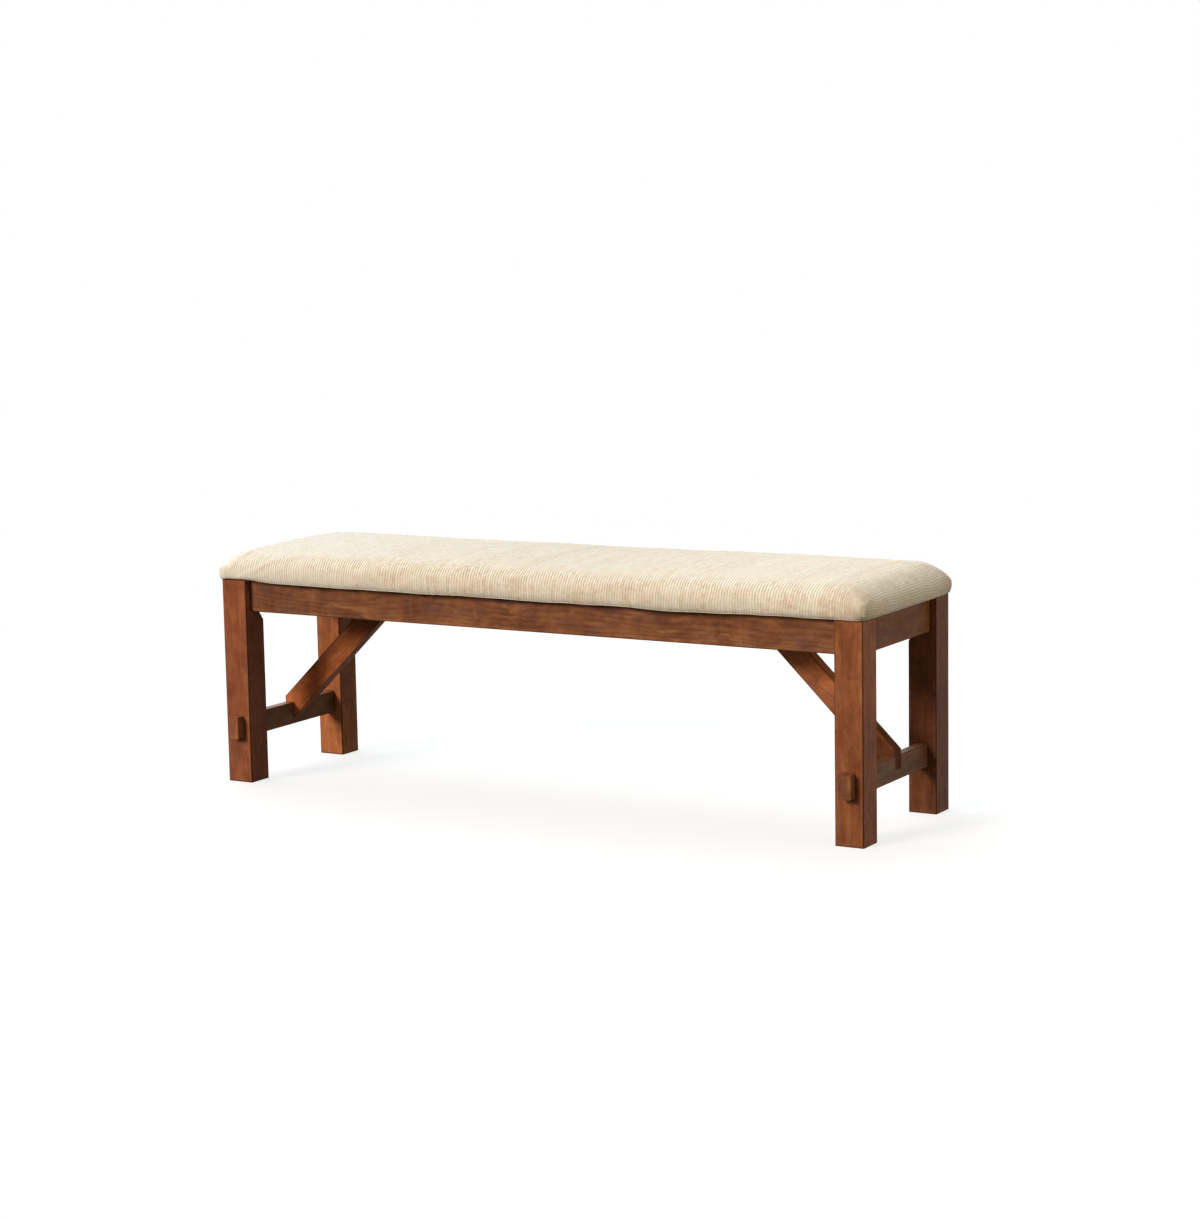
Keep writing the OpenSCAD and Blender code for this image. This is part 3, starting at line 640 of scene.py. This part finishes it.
def seat_z(x, y, skin):
    """Height of the surface over the point x, y, for a layer that lies skin under the cover's face."""
    from_end = HALF_X - skin - abs(x) - SEAT_BOW * (y / HALF_Y) ** 2
    from_side = HALF_Y - skin - abs(y) - SEAT_BOW * (x / HALF_X) ** 2
    edge_height = CROWN_TOP - skin - SEAT_CROWN - WIDEST_Z
    rounds = rise(from_end / SEAT_ROUND, END_ROUNDNESS) * rise(from_side / SEAT_ROUND, SIDE_ROUNDNESS)
    crown = swell(from_end / (CROWN_END_SHARE * HALF_Y)) * swell(from_side / HALF_Y)
    return WIDEST_Z + edge_height * rounds + SEAT_CROWN * crown


def turn_angle(level):
    """How far the surface has turned under at a level below its widest line."""
    return clipped((level - WIDEST_SHARE) / (1 - WIDEST_SHARE)) * TURN_END


class Fall:
    """How the cloth falls over one round and turn: flat length against level and inset.
    The level runs from 0 at the start of the round, past the widest line, to 1 at the bottom edge."""

    def __init__(self, roundness):
        inset = np.linspace(SEAT_ROUND, 0, 600)
        height = (CROWN_TOP - SEAT_CROWN - WIDEST_Z) * rise(inset / SEAT_ROUND, roundness)
        steps = np.hypot(np.diff(inset), np.diff(height))
        arc = np.concatenate([[0], np.cumsum(steps)])
        self.round_length = arc[-1]
        self.turn_length = math.pi / 2 * math.sqrt((SEAT_TURN ** 2 + (WIDEST_Z - SEAT_BASE) ** 2) / 2)
        self.length = self.round_length + self.turn_length
        self._marks = ([0, self.round_length, self.length], [0, WIDEST_SHARE, 1])
        self._insets = (arc / arc[-1] * WIDEST_SHARE, inset)

    def level(self, past):
        """Level of a point whose flat place lies past the start of the round."""
        return np.interp(past, *self._marks)

    def past(self, level):
        return np.interp(level, *self._marks[::-1])

    def inset(self, level):
        bent = (1 - np.cos(turn_angle(level))) / (1 - math.cos(TURN_END))
        return np.interp(level, *self._insets) + SEAT_TURN * bent


END_FALL = Fall(END_ROUNDNESS)
SIDE_FALL = Fall(SIDE_ROUNDNESS)
FLAT_X = HALF_X - SEAT_ROUND
FLAT_Y = HALF_Y - SEAT_ROUND
CLOTH_X = FLAT_X + END_FALL.length
CLOTH_Y = FLAT_Y + SIDE_FALL.length


def levels(u, v):
    """Levels of the flat place u, v in the fall over the ends and in the fall over the sides."""
    return END_FALL.level(abs(u) - FLAT_X), SIDE_FALL.level(abs(v) - FLAT_Y)


def soft_max(first, second):
    """The larger of two levels, eased where they are alike, and never over 1."""
    high, low = np.maximum(first, second), np.minimum(first, second)
    width = np.minimum(LEVEL_EASE, 2 * np.minimum(low, 1 - high)) + TINY
    near = clipped(1 - (high - low) / width)
    return high + near ** 2 * width / 4


def humps(u, v, table):
    """The sum of smooth humps over the flat places, from rows of height, middle and reach."""
    total = 0
    for height, middle_u, middle_v, reach_u, reach_v in table:
        total = total + height * np.exp(-((u - middle_u) / reach_u) ** 2 - ((v - middle_v) / reach_v) ** 2)
    return total


def ring_places(level, lean, half_x, half_y, skin):
    """Places on the ring at a level, for a lean from -1 in the middle of an end to 1 in that of a side."""
    arm_x, arm_y = np.maximum(half_x - FLAT_X, 0), np.maximum(half_y - FLAT_Y, 0)
    inset = skin + np.where(lean < 0, END_FALL.inset(level), SIDE_FALL.inset(level))
    corner = np.maximum(SEAT_CORNER - CORNER_EASE_SHARE * inset, SMALLEST_CORNER)
    corner = np.minimum(corner, np.minimum(arm_x, arm_y))
    quarter = corner * math.pi / 4
    arm = np.where(lean > 0, arm_x, arm_y) - corner + quarter
    cloth = np.where(lean > 0, END_FALL.past(level), SIDE_FALL.past(level))
    gather = np.clip(cloth / np.maximum(arm, TINY), 1, MOST_GATHERED)
    walk = np.abs(lean) ** gather * arm
    angle = math.pi / 4 * (1 + np.sign(lean) * np.minimum(walk / np.maximum(quarter, TINY), 1))
    straight = np.maximum(walk - quarter, 0)
    ring_x = half_x - corner + corner * np.cos(angle) - np.where(lean > 0, straight, 0)
    ring_y = half_y - corner + corner * np.sin(angle) - np.where(lean < 0, straight, 0)
    return ring_x, ring_y


def seat_points(u, v, skin, bottom=SEAT_BASE):
    """Points of the seat's surface at the flat places u, v, for a layer skin under the cover's face."""
    end_level, side_level = levels(u, v)
    level = soft_max(end_level, side_level)
    lean = np.clip((side_level - end_level) / np.maximum(level, TINY), -1, 1)
    half_x = HALF_X - skin - np.maximum(END_FALL.inset(level), 0)
    half_y = HALF_Y - skin - np.maximum(SIDE_FALL.inset(level), 0)
    ring_x, ring_y = ring_places(level, lean, half_x, half_y, skin)
    x = np.minimum(abs(u), FLAT_X) + np.where(level > 0, ring_x - FLAT_X, 0)
    y = np.minimum(abs(v), FLAT_Y) + np.where(level > 0, ring_y - FLAT_Y, 0)
    x, y = (x - SEAT_BOW * x / half_x * (y / half_y) ** 2,
            y - SEAT_BOW * y / half_y * (x / half_x) ** 2)
    turn = turn_angle(level)
    fallen = np.sin(turn) / math.sin(TURN_END)
    z = np.where(turn > 0, WIDEST_Z - (WIDEST_Z - bottom) * fallen, seat_z(x, y, skin))
    z = z - humps(u, v, SUNKEN) * clipped((z - bottom) / SETTLING_FADE)
    return np.stack([np.sign(u) * x, np.sign(v) * y, z], axis=-1)


def cloth_lines(flat, fall, flat_steps, round_steps, turn_steps):
    """Flat places of the grid lines across the cloth, from one bottom edge to the other."""
    half = np.concatenate([
        np.linspace(0, flat, flat_steps + 1)[:-1],
        flat + np.linspace(0, fall.round_length, round_steps + 1)[:-1],
        flat + fall.round_length + np.linspace(0, fall.turn_length, turn_steps + 1)])
    return np.concatenate([-half[:0:-1], half])


def smooth_noise(rng, u, v, cell_u, cell_v):
    """Smooth noise from -1 to 1 over flat places within 2 m, from a lattice of random heights."""
    a, b = (u + 2) / cell_u, (v + 2) / cell_v
    size_a, size_b = int(4 / cell_u) + 3, int(4 / cell_v) + 3
    lattice = rng.uniform(-1, 1, (size_a, size_b))
    i, j = np.floor(a).astype(int), np.floor(b).astype(int)
    share_a, share_b = eased(a - i), eased(b - j)
    low = lattice[i, j] * (1 - share_a) + lattice[i + 1, j] * share_a
    high = lattice[i, j + 1] * (1 - share_a) + lattice[i + 1, j + 1] * share_a
    return low * (1 - share_b) + high * share_b


def grid_normals(points):
    normals = np.cross(np.gradient(points, axis=1), np.gradient(points, axis=0))
    return normals / np.maximum(np.linalg.norm(normals, axis=-1, keepdims=True), 1e-12)


# Meshes

def rim(grid):
    """What a grid holds round its edge, in order."""
    return np.concatenate([grid[0, :-1], grid[:-1, -1], grid[-1, :0:-1], grid[:0:-1, 0]])


def lip_ring(points, inward, z):
    """A loop of points moved inward under the seat, at the height z."""
    ring = points.copy()
    ring[:, 0] *= 1 - inward / (HALF_X - SEAT_TURN)
    ring[:, 1] *= 1 - inward / (HALF_Y - SEAT_TURN)
    ring[:, 2] = z
    return ring


def add_object(name, data):
    item = bpy.data.objects.new(name, data)
    bpy.context.scene.collection.objects.link(item)
    return item


class Shell:
    """Collects the points and faces of a mesh. Loops and grids are held as numbers of its points."""

    def __init__(self):
        self.blocks = []
        self.faces = []

    def add(self, points):
        start = sum(len(block) for block in self.blocks)
        self.blocks.append(points)
        return start + np.arange(len(points))

    def grid(self, points, flip=False):
        """Adds a grid with its faces, and returns the loop round its edge."""
        index = self.add(points.reshape(-1, 3)).reshape(points.shape[:2])
        quads = np.stack([index[:-1, :-1], index[:-1, 1:], index[1:, 1:], index[1:, :-1]], axis=-1)
        self._take(quads.reshape(-1, 4), flip)
        return rim(index)

    def strip(self, outer, inner, flip=True):
        """Adds quads between two closed loops of the same count, and returns the inner loop."""
        self._take(np.stack([outer, inner, np.roll(inner, -1), np.roll(outer, -1)], axis=-1), flip)
        return inner

    def _take(self, quads, flip):
        self.faces += list(quads[:, ::-1] if flip else quads)

    def build(self, name, material):
        mesh = bpy.data.meshes.new(name)
        points = np.concatenate(self.blocks).tolist()
        mesh.from_pydata(points, [], [[int(i) for i in face] for face in self.faces])
        mesh.materials.append(material)
        mesh.shade_smooth()
        mesh.update()
        return add_object(name, mesh)


def bridge(fine, coarse, fine_shape, coarse_shape):
    """Faces between a fine edge loop and a coarse one, side by side round the four sides."""
    fine, coarse = np.append(fine, fine[0]), np.append(coarse, coarse[0])
    faces = []
    at_fine, at_coarse = 0, 0
    for side in (1, 0, 1, 0):
        step = (fine_shape[side] - 1) // (coarse_shape[side] - 1)
        for _ in range(coarse_shape[side] - 1):
            outer = fine[at_fine:at_fine + step + 1]
            faces.append([*outer[::-1], *coarse[at_coarse:at_coarse + 2]])
            at_fine += step
            at_coarse += 1
    return faces


# The cloth simulation

def simulate_cover():
    """Displacement of the cover on a coarse grid, from pressure under the cloth."""
    u, v = np.meshgrid(SIM_U, COVER_V)
    start = seat_points(u, v, SIM_SKIN)
    normals = grid_normals(start)
    # Staples pull the cloth unevenly along the bottom edge
    rng = np.random.default_rng(7)
    pull = smooth_noise(rng, start[..., 0], start[..., 1], SIM_PULL_CELL, SIM_PULL_CELL)
    shell = Shell()
    edge = shell.grid(start + normals * (pull * SIM_PULL)[..., None])
    ring = shell.strip(edge, shell.add(lip_ring(rim(start), SIM_LIP, SEAT_BASE)), flip=False)
    piece = shell.build("cover_sim", bpy.data.materials.new("sim"))
    held = piece.vertex_groups.new(name="held")
    held.add(np.concatenate([edge, ring]).tolist(), 1.0, "REPLACE")
    swollen = run_cloth(piece)[:u.size].reshape(start.shape)
    bpy.data.objects.remove(piece)
    along = ((swollen - start) * normals).sum(axis=-1)
    # The section is fitted to the real seat, so only what differs along and across it is kept
    for sigma, axis in SIM_BLURS:
        along = along - blurred(along, sigma, axis)
    # Over the ends and corners the cloth is pulled tight
    return SIM_CAP * np.tanh(along / SIM_CAP) * (1 - SIM_TIGHT * stretched(u))


def run_cloth(piece):
    """Points of the piece after the cloth simulation."""
    cloth = piece.modifiers.new("cloth", "CLOTH")
    for key, value in SIM_SETTINGS.items():
        setattr(cloth.settings, key, value)
    cloth.settings.effector_weights.gravity = 0
    cloth.collision_settings.use_collision = False
    scene = bpy.context.scene
    for step in range(SIM_FRAMES):
        scene.frame_set(step + 1)
    evaluated = piece.evaluated_get(bpy.context.evaluated_depsgraph_get())
    points = np.array([vertex.co for vertex in evaluated.data.vertices])
    scene.frame_set(1)
    return points


def blurred(field, sigma, axis):
    reach = int(3 * sigma)
    weights = np.exp(-0.5 * (np.arange(-reach, reach + 1) / sigma) ** 2)
    weights /= weights.sum()
    pad = [(0, 0), (0, 0)]
    pad[axis] = (reach, reach)
    padded = np.pad(field, pad, mode="edge")
    return np.apply_along_axis(lambda line: np.convolve(line, weights, "valid"), axis, padded)


# The seat

def cord_number(u):
    """Number of cords from the middle of the bench. Over the ends they are pulled closer together."""
    beyond = np.maximum(abs(u) - FLAT_X, 0) / CORD_END_SHARE
    return np.sign(u) * (np.minimum(abs(u), FLAT_X) + beyond) / CORD_PITCH


def cord_lines(steps):
    """Flat places of the lines along the cloth, with the given number of steps to each cord."""
    half = CORDS_PER_HALF * steps
    numbers = np.linspace(0, cord_number(CLOTH_X), half + 1)
    inner = np.minimum(numbers, FLAT_X / CORD_PITCH)
    outward = (inner + (numbers - inner) * CORD_END_SHARE) * CORD_PITCH
    return np.concatenate([-outward[:0:-1], outward])


CORDS_PER_HALF = round(float(cord_number(CLOTH_X)))
COVER_U = cord_lines(CORD_STEPS)
COVER_V = cloth_lines(FLAT_Y, SIDE_FALL, flat_steps=10, round_steps=22, turn_steps=7)
SIM_U = cord_lines(1)


def droop(x):
    """How far the roll of the seat hangs down in front of the long rails, between the legs."""
    rng = np.random.default_rng(3)
    sag = 0.55 + 0.45 * smooth_noise(rng, x, 0 * x, 0.16, 1.0)
    sag = sag + 0.15 * smooth_noise(rng, x, 0 * x, 0.05, 1.0)
    between = clipped((HALF_X - ROLL_FROM_END - abs(x)) / ROLL_FADE)
    depth = ROLL_DEPTH * np.clip(sag, 0.05, 1.1)
    for middle, reach, more in ROLL_PLACES:
        depth = depth + more * np.exp(-((x - middle) / reach) ** 2)
    return depth * eased(between)


def stretched(u):
    """0 along the bench, rising to 1 over the ends, where the cords are pulled flatter."""
    return clipped((abs(u) - FLAT_X) / STRETCH_FADE)


def cord_profile(u):
    """Height of the cords over the cloth: round on top, with a narrow gap between two of them."""
    number = cord_number(u)
    phase = abs(number - np.round(number)) * 2
    return CORD_HEIGHT * np.sqrt(clipped(1 - phase ** 2))


def stuffing(u_lines, v_lines, swelling):
    """How far the swelling and the uneven stuffing lift the cloth off the fitted form."""
    wide = np.stack([np.interp(u_lines, SIM_U, row) for row in swelling])
    swollen = np.stack([np.interp(v_lines, COVER_V, column) for column in wide.T], axis=1)
    return swollen + humps(*np.meshgrid(u_lines, v_lines), FILLED)


def fade_to_edge(u, v):
    """1 over the seat, falling to 0 at the bottom edge of the cloth."""
    return clipped((1 - np.maximum(*levels(u, v))) / EDGE_FADE)


def cover_face(swelling):
    """Points of the cover's outer face, with its cords and its roll in front of the rails."""
    u, v = np.meshgrid(COVER_U, COVER_V)
    rng = np.random.default_rng(11)
    # The cords wander a little sideways and lie a little higher or lower
    sway = 3.0 * MM * smooth_noise(rng, u, v, 0.09, 0.035)
    sway = sway + 0.8 * MM * smooth_noise(rng, u, v, 0.02, 0.022)
    lift = smooth_noise(rng, u, v, 0.009, 0.016)
    fade = clipped((CLOTH_X - abs(u)) / CORD_FADE) * clipped((CLOTH_Y - abs(v)) / CORD_FADE)
    points = seat_points(u + sway * fade, v, COVER_SKIN)
    height = cord_profile(u) * (1 + 0.18 * lift) * (1 - 0.45 * stretched(u))
    out = (height + stuffing(COVER_U, COVER_V, swelling)) * fade_to_edge(u, v)
    points = points + grid_normals(points) * out[..., None]
    hang = clipped((levels(u, v)[1] - ROLL_START) / (1 - ROLL_START))
    points[..., 2] -= droop(points[..., 0]) * eased(hang)
    return points


def lining_points(u_lines, v_lines, skin, bottom, swelling, share):
    """Points of a layer under the cover's face, which takes up a share of the cover's lift."""
    u, v = np.meshgrid(u_lines, v_lines)
    points = seat_points(u, v, skin, bottom)
    out = share * stuffing(u_lines, v_lines, swelling) * fade_to_edge(u, v)
    return points + grid_normals(points) * out[..., None]


def build_cover(material, swelling):
    """The cover: its outer face, the lip that turns in under the seat, and a coarser inner face."""
    outer = cover_face(swelling)
    place = np.stack(np.meshgrid(COVER_U, COVER_V), axis=-1)
    size = np.array([CLOTH_X, CLOTH_Y])
    at_edge = abs(rim(place)) > size - 1e-6
    shell = Shell()
    loop = shell.grid(outer)
    flat = [place.reshape(-1, 2)]
    for inward in (COVER_FOLD, COVER_LIP):
        loop = shell.strip(loop, shell.add(lip_ring(rim(outer), inward, SEAT_BASE)))
        flat.append(rim(place) * (1 + inward / size * at_edge))

    # The inner face lies one cloth thickness in, on a coarser grid
    inner_u, inner_v = COVER_U[::8], COVER_V[::2]
    inner_base = SEAT_BASE + COVER_THICKNESS
    inner = lining_points(inner_u, inner_v, COVER_THICKNESS + COVER_SKIN, inner_base, swelling, 0.92)
    inner_edge = shell.grid(inner, flip=True)
    inner_ring = lip_ring(rim(inner), COVER_LIP - COVER_THICKNESS, inner_base)
    inner_loop = shell.strip(inner_edge, shell.add(inner_ring), flip=False)
    inner_place = np.stack(np.meshgrid(inner_u, inner_v), axis=-1)
    flat += [inner_place.reshape(-1, 2), rim(inner_place)]

    shell.faces += bridge(loop, inner_loop, outer.shape, inner.shape)
    cover = shell.build("chenille_cover", material)
    attribute = cover.data.attributes.new("cloth_place", "FLOAT_VECTOR", "POINT")
    places = np.pad(np.concatenate(flat), ((0, 0), (0, 1)))
    attribute.data.foreach_set("vector", places.astype(np.float32).ravel())
    return cover


def build_layer(name, material, skin, bottom, swelling):
    """A closed solid under the cover: the wadding or the foam block."""
    u_lines = np.linspace(-CLOTH_X, CLOTH_X, LAYER_STEPS + 1)
    points = lining_points(u_lines, COVER_V[::2], skin, bottom, swelling, 0.8)
    shell = Shell()
    loop = shell.grid(points)
    for inward in LAYER_INSETS:
        loop = shell.strip(loop, shell.add(lip_ring(rim(points), inward, bottom)))
    shell.faces.append(loop[::-1])
    return shell.build(name, material)


def build_dust_cloth(material):
    """The sheet stretched under the board, slack between its staples."""
    low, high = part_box("dust_cover")
    rng = np.random.default_rng(5)
    x, y = np.meshgrid(np.linspace(low.x, high.x, 141), np.linspace(low.y, high.y, 41))
    inside = clipped(np.minimum(high.x - abs(x), high.y - abs(y)) / DUST_HELD)
    wave = smooth_noise(rng, x, y, 0.06, 0.03) + 0.5 * smooth_noise(rng, x, y, 0.02, 0.012)
    sag = (DUST_WAVE * wave - DUST_SAG) * inside
    top = np.stack([x, y, high.z + sag - DUST_GAP], axis=-1)
    shell = Shell()
    edge = shell.grid(top)
    shell.strip(edge, shell.grid(top - np.array([0, 0, DUST_THICKNESS]), flip=True))
    return shell.build("dust_cloth", material)


def staple_spots(high):
    """Place and turn of each staple, along the four edges of the dust cloth."""
    spots = []
    for side in (-1, 1):
        for x in np.linspace(-STAPLE_ROW_X, STAPLE_ROW_X, 31):
            spots.append((x, side * (high.y - STAPLE_INSET), 0.0))
        for y in np.linspace(-STAPLE_ROW_Y, STAPLE_ROW_Y, 6):
            spots.append((side * (high.x - STAPLE_INSET), y, math.pi / 2))
    return spots


def staple_points(x, y, z, angle):
    """A grid of points: a ring of the wire at each bend of the staple."""
    reach = STAPLE_HALF * np.array([-1, -1, -0.93, 0.93, 1, 1])[:, None]
    up = np.array([STAPLE_LEG, STAPLE_BEND, 0, 0, STAPLE_BEND, STAPLE_LEG])[:, None]
    round_wire = np.arange(STAPLE_SIDES) * 2 * math.pi / STAPLE_SIDES
    across = STAPLE_RADIUS * np.cos(round_wire)
    cos, sin = math.cos(angle), math.sin(angle)
    return np.stack([x + reach * cos - across * sin, y + reach * sin + across * cos,
                     z + up + STAPLE_RADIUS * np.sin(round_wire)], axis=-1)


def build_staples(material):
    """Wire staples along the dust cloth, in one mesh, with their legs bent up into the cloth."""
    low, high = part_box("dust_cover")
    shell = Shell()
    for x, y, angle in staple_spots(high):
        angle += draws.uniform(-0.2, 0.2)
        x += draws.uniform(-1, 1) * STAPLE_SLIP * math.cos(angle)
        rings = staple_points(x, y, low.z - STAPLE_DROP, angle)
        loops = [shell.add(ring) for ring in rings]
        for first, second in zip(loops[:-1], loops[1:]):
            shell.strip(first, second)
        shell.faces += [loops[0][::-1], loops[-1]]
    return shell.build("staples", material)


def build_seat(steel):
    swelling = simulate_cover()
    cover = build_cover(chenille_material(), swelling)
    skin = COVER_THICKNESS + SOFT_GAP + COVER_SKIN
    foam_skin = skin + WADDING_THICKNESS + SOFT_GAP
    wadding_base, foam_base = (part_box(node)[0].z for node in ("wadding", "foam_pad"))
    wadding = build_layer("wadding_wrap", wadding_material(), skin, wadding_base, swelling)
    foam = build_layer("foam_block", foam_material(), foam_skin, foam_base, swelling)
    dust = build_dust_cloth(dust_cloth_material())
    staples = build_staples(steel)
    dress("seat_board", plywood_material())
    settings = ((cover, "seat_cover", "chenille"), (wadding, "wadding", "wadding"),
                (foam, "foam_pad", "foam"), (dust, "dust_cover", "dust_cloth"))
    for piece, node, slot in settings:
        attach(piece, "root")
        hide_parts(node)
    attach(staples, "root")


# Stage, lights and camera

def seen_directly(t):
    """1 for what the camera, a mirror or glass shows, and 0 for the light that falls on the bench."""
    path = t.add("ShaderNodeLightPath").outputs
    seen = t.math("MAXIMUM", path["Is Camera Ray"], path["Is Glossy Ray"])
    return t.math("MAXIMUM", seen, path["Is Transmission Ray"])


def stage_material():
    """A white floor that keeps a light shadow for the camera, and gives little light back."""
    t = Tree("pale_floor")
    place = t.add("ShaderNodeNewGeometry").outputs["Position"]
    away = t.vector_math("LENGTH", t.vector_math("MULTIPLY", place, (1, 1, 0)), output=1)
    far = t.range(away, 1.3, 3.0)
    white = t.add("ShaderNodeEmission").outputs[0]
    base = t.add("ShaderNodeEmission", {"Strength": 0.76}).outputs[0]
    pale = t.add("ShaderNodeBsdfDiffuse", {"Color": (0.27, 0.27, 0.27, 1)}).outputs[0]
    dim = t.add("ShaderNodeBsdfDiffuse", {"Color": (0.06, 0.06, 0.06, 1)}).outputs[0]
    near = t.add("ShaderNodeAddShader", {0: base, 1: pale}).outputs[0]
    shown = t.add("ShaderNodeMixShader", {0: far, 1: near, 2: white}).outputs[0]
    return t.end(t.add("ShaderNodeMixShader", {0: seen_directly(t), 1: dim, 2: shown}).outputs[0])


def build_stage():
    ends = (-FLOOR_REACH, FLOOR_REACH)
    x, y = np.meshgrid(ends, ends)
    shell = Shell()
    shell.grid(np.stack([x, y, 0 * x], axis=-1))
    floor = shell.build("floor", stage_material())


def build_world():
    """White where it is seen, and a dim warm light on the bench."""
    t = Tree("white", "worlds")
    dim = t.add("ShaderNodeBackground", {0: (0.268, 0.236, 0.18, 1)}).outputs[0]
    white = t.add("ShaderNodeBackground", {0: (1, 1, 1, 1)}).outputs[0]
    mixed = t.add("ShaderNodeMixShader", {0: seen_directly(t), 1: dim, 2: white}).outputs[0]
    bpy.context.scene.world = t.end(mixed, "ShaderNodeOutputWorld")


def add_lamp(name, kind, from_where, energy, colour):
    """A light that comes from the given direction."""
    light = bpy.data.lights.new(name, kind)
    light.energy = energy
    light.color = colour
    lamp = add_object(name, light)
    lamp.rotation_mode = "QUATERNION"
    lamp.rotation_quaternion = Vector(from_where).to_track_quat("Z", "Y")
    return lamp


def add_sun(name, towards, share, angle, colour):
    """A sun that gives a white surface facing it the given share of full white."""
    sun = add_lamp(name, "SUN", towards, share * math.pi, colour)
    sun.data.angle = math.radians(angle)


def build_lights():
    add_sun("key", (-0.38, -0.82, 0.43), share=0.82, angle=22, colour=(1.0, 0.86, 0.73))
    add_sun("overhead", (-0.52, 0.4, 0.76), share=0.94, angle=70, colour=(0.765, 0.895, 1.0))
    # A square lamp close to the bench, so its light falls off along it
    place, target = Vector((1.9, -0.12, 0.66)), Vector((0.75, 0.0, 0.4))
    fill = add_lamp("fill", "AREA", place - target, energy=3.4, colour=(1.0, 0.82, 0.58))
    fill.data.shape = "SQUARE"
    fill.data.size = 0.8
    fill.location = place
    fill.visible_camera = False


# The camera, solved from the photograph. Its angles are the yaw, the pitch and the roll, in degrees.
CAMERA_PLACE = (3.2196, -5.3788, 1.3267)
CAMERA_ANGLES = (30.41, 8.525, -1.05)
CAMERA_LENS = 90.2
FLOOR_REACH = 60.0


def build_camera():
    yaw, pitch, roll = (math.radians(angle) for angle in CAMERA_ANGLES)
    turn = (Matrix.Rotation(yaw, 4, "Z") @ Matrix.Rotation(math.pi / 2 - pitch, 4, "X")
            @ Matrix.Rotation(roll, 4, "Z"))
    data = bpy.data.cameras.new("camera")
    data.sensor_width = 36
    data.lens = CAMERA_LENS
    camera = add_object("camera", data)
    camera.matrix_world = Matrix.Translation(CAMERA_PLACE) @ turn
    bpy.context.scene.camera = camera


def main():
    build_camera()
    build_world()
    build_lights()
    build_stage()
    steel = steel_material()
    dress_wood()
    for node in ("hanger_bolts", "hanger_washers", "hanger_nuts", "block_screws",
                 "brace_head_screws", "brace_toe_screws", "seat_screws"):
        dress(node, steel)
    build_seat(steel)
    bpy.context.scene.view_settings.view_transform = "Standard"


main()
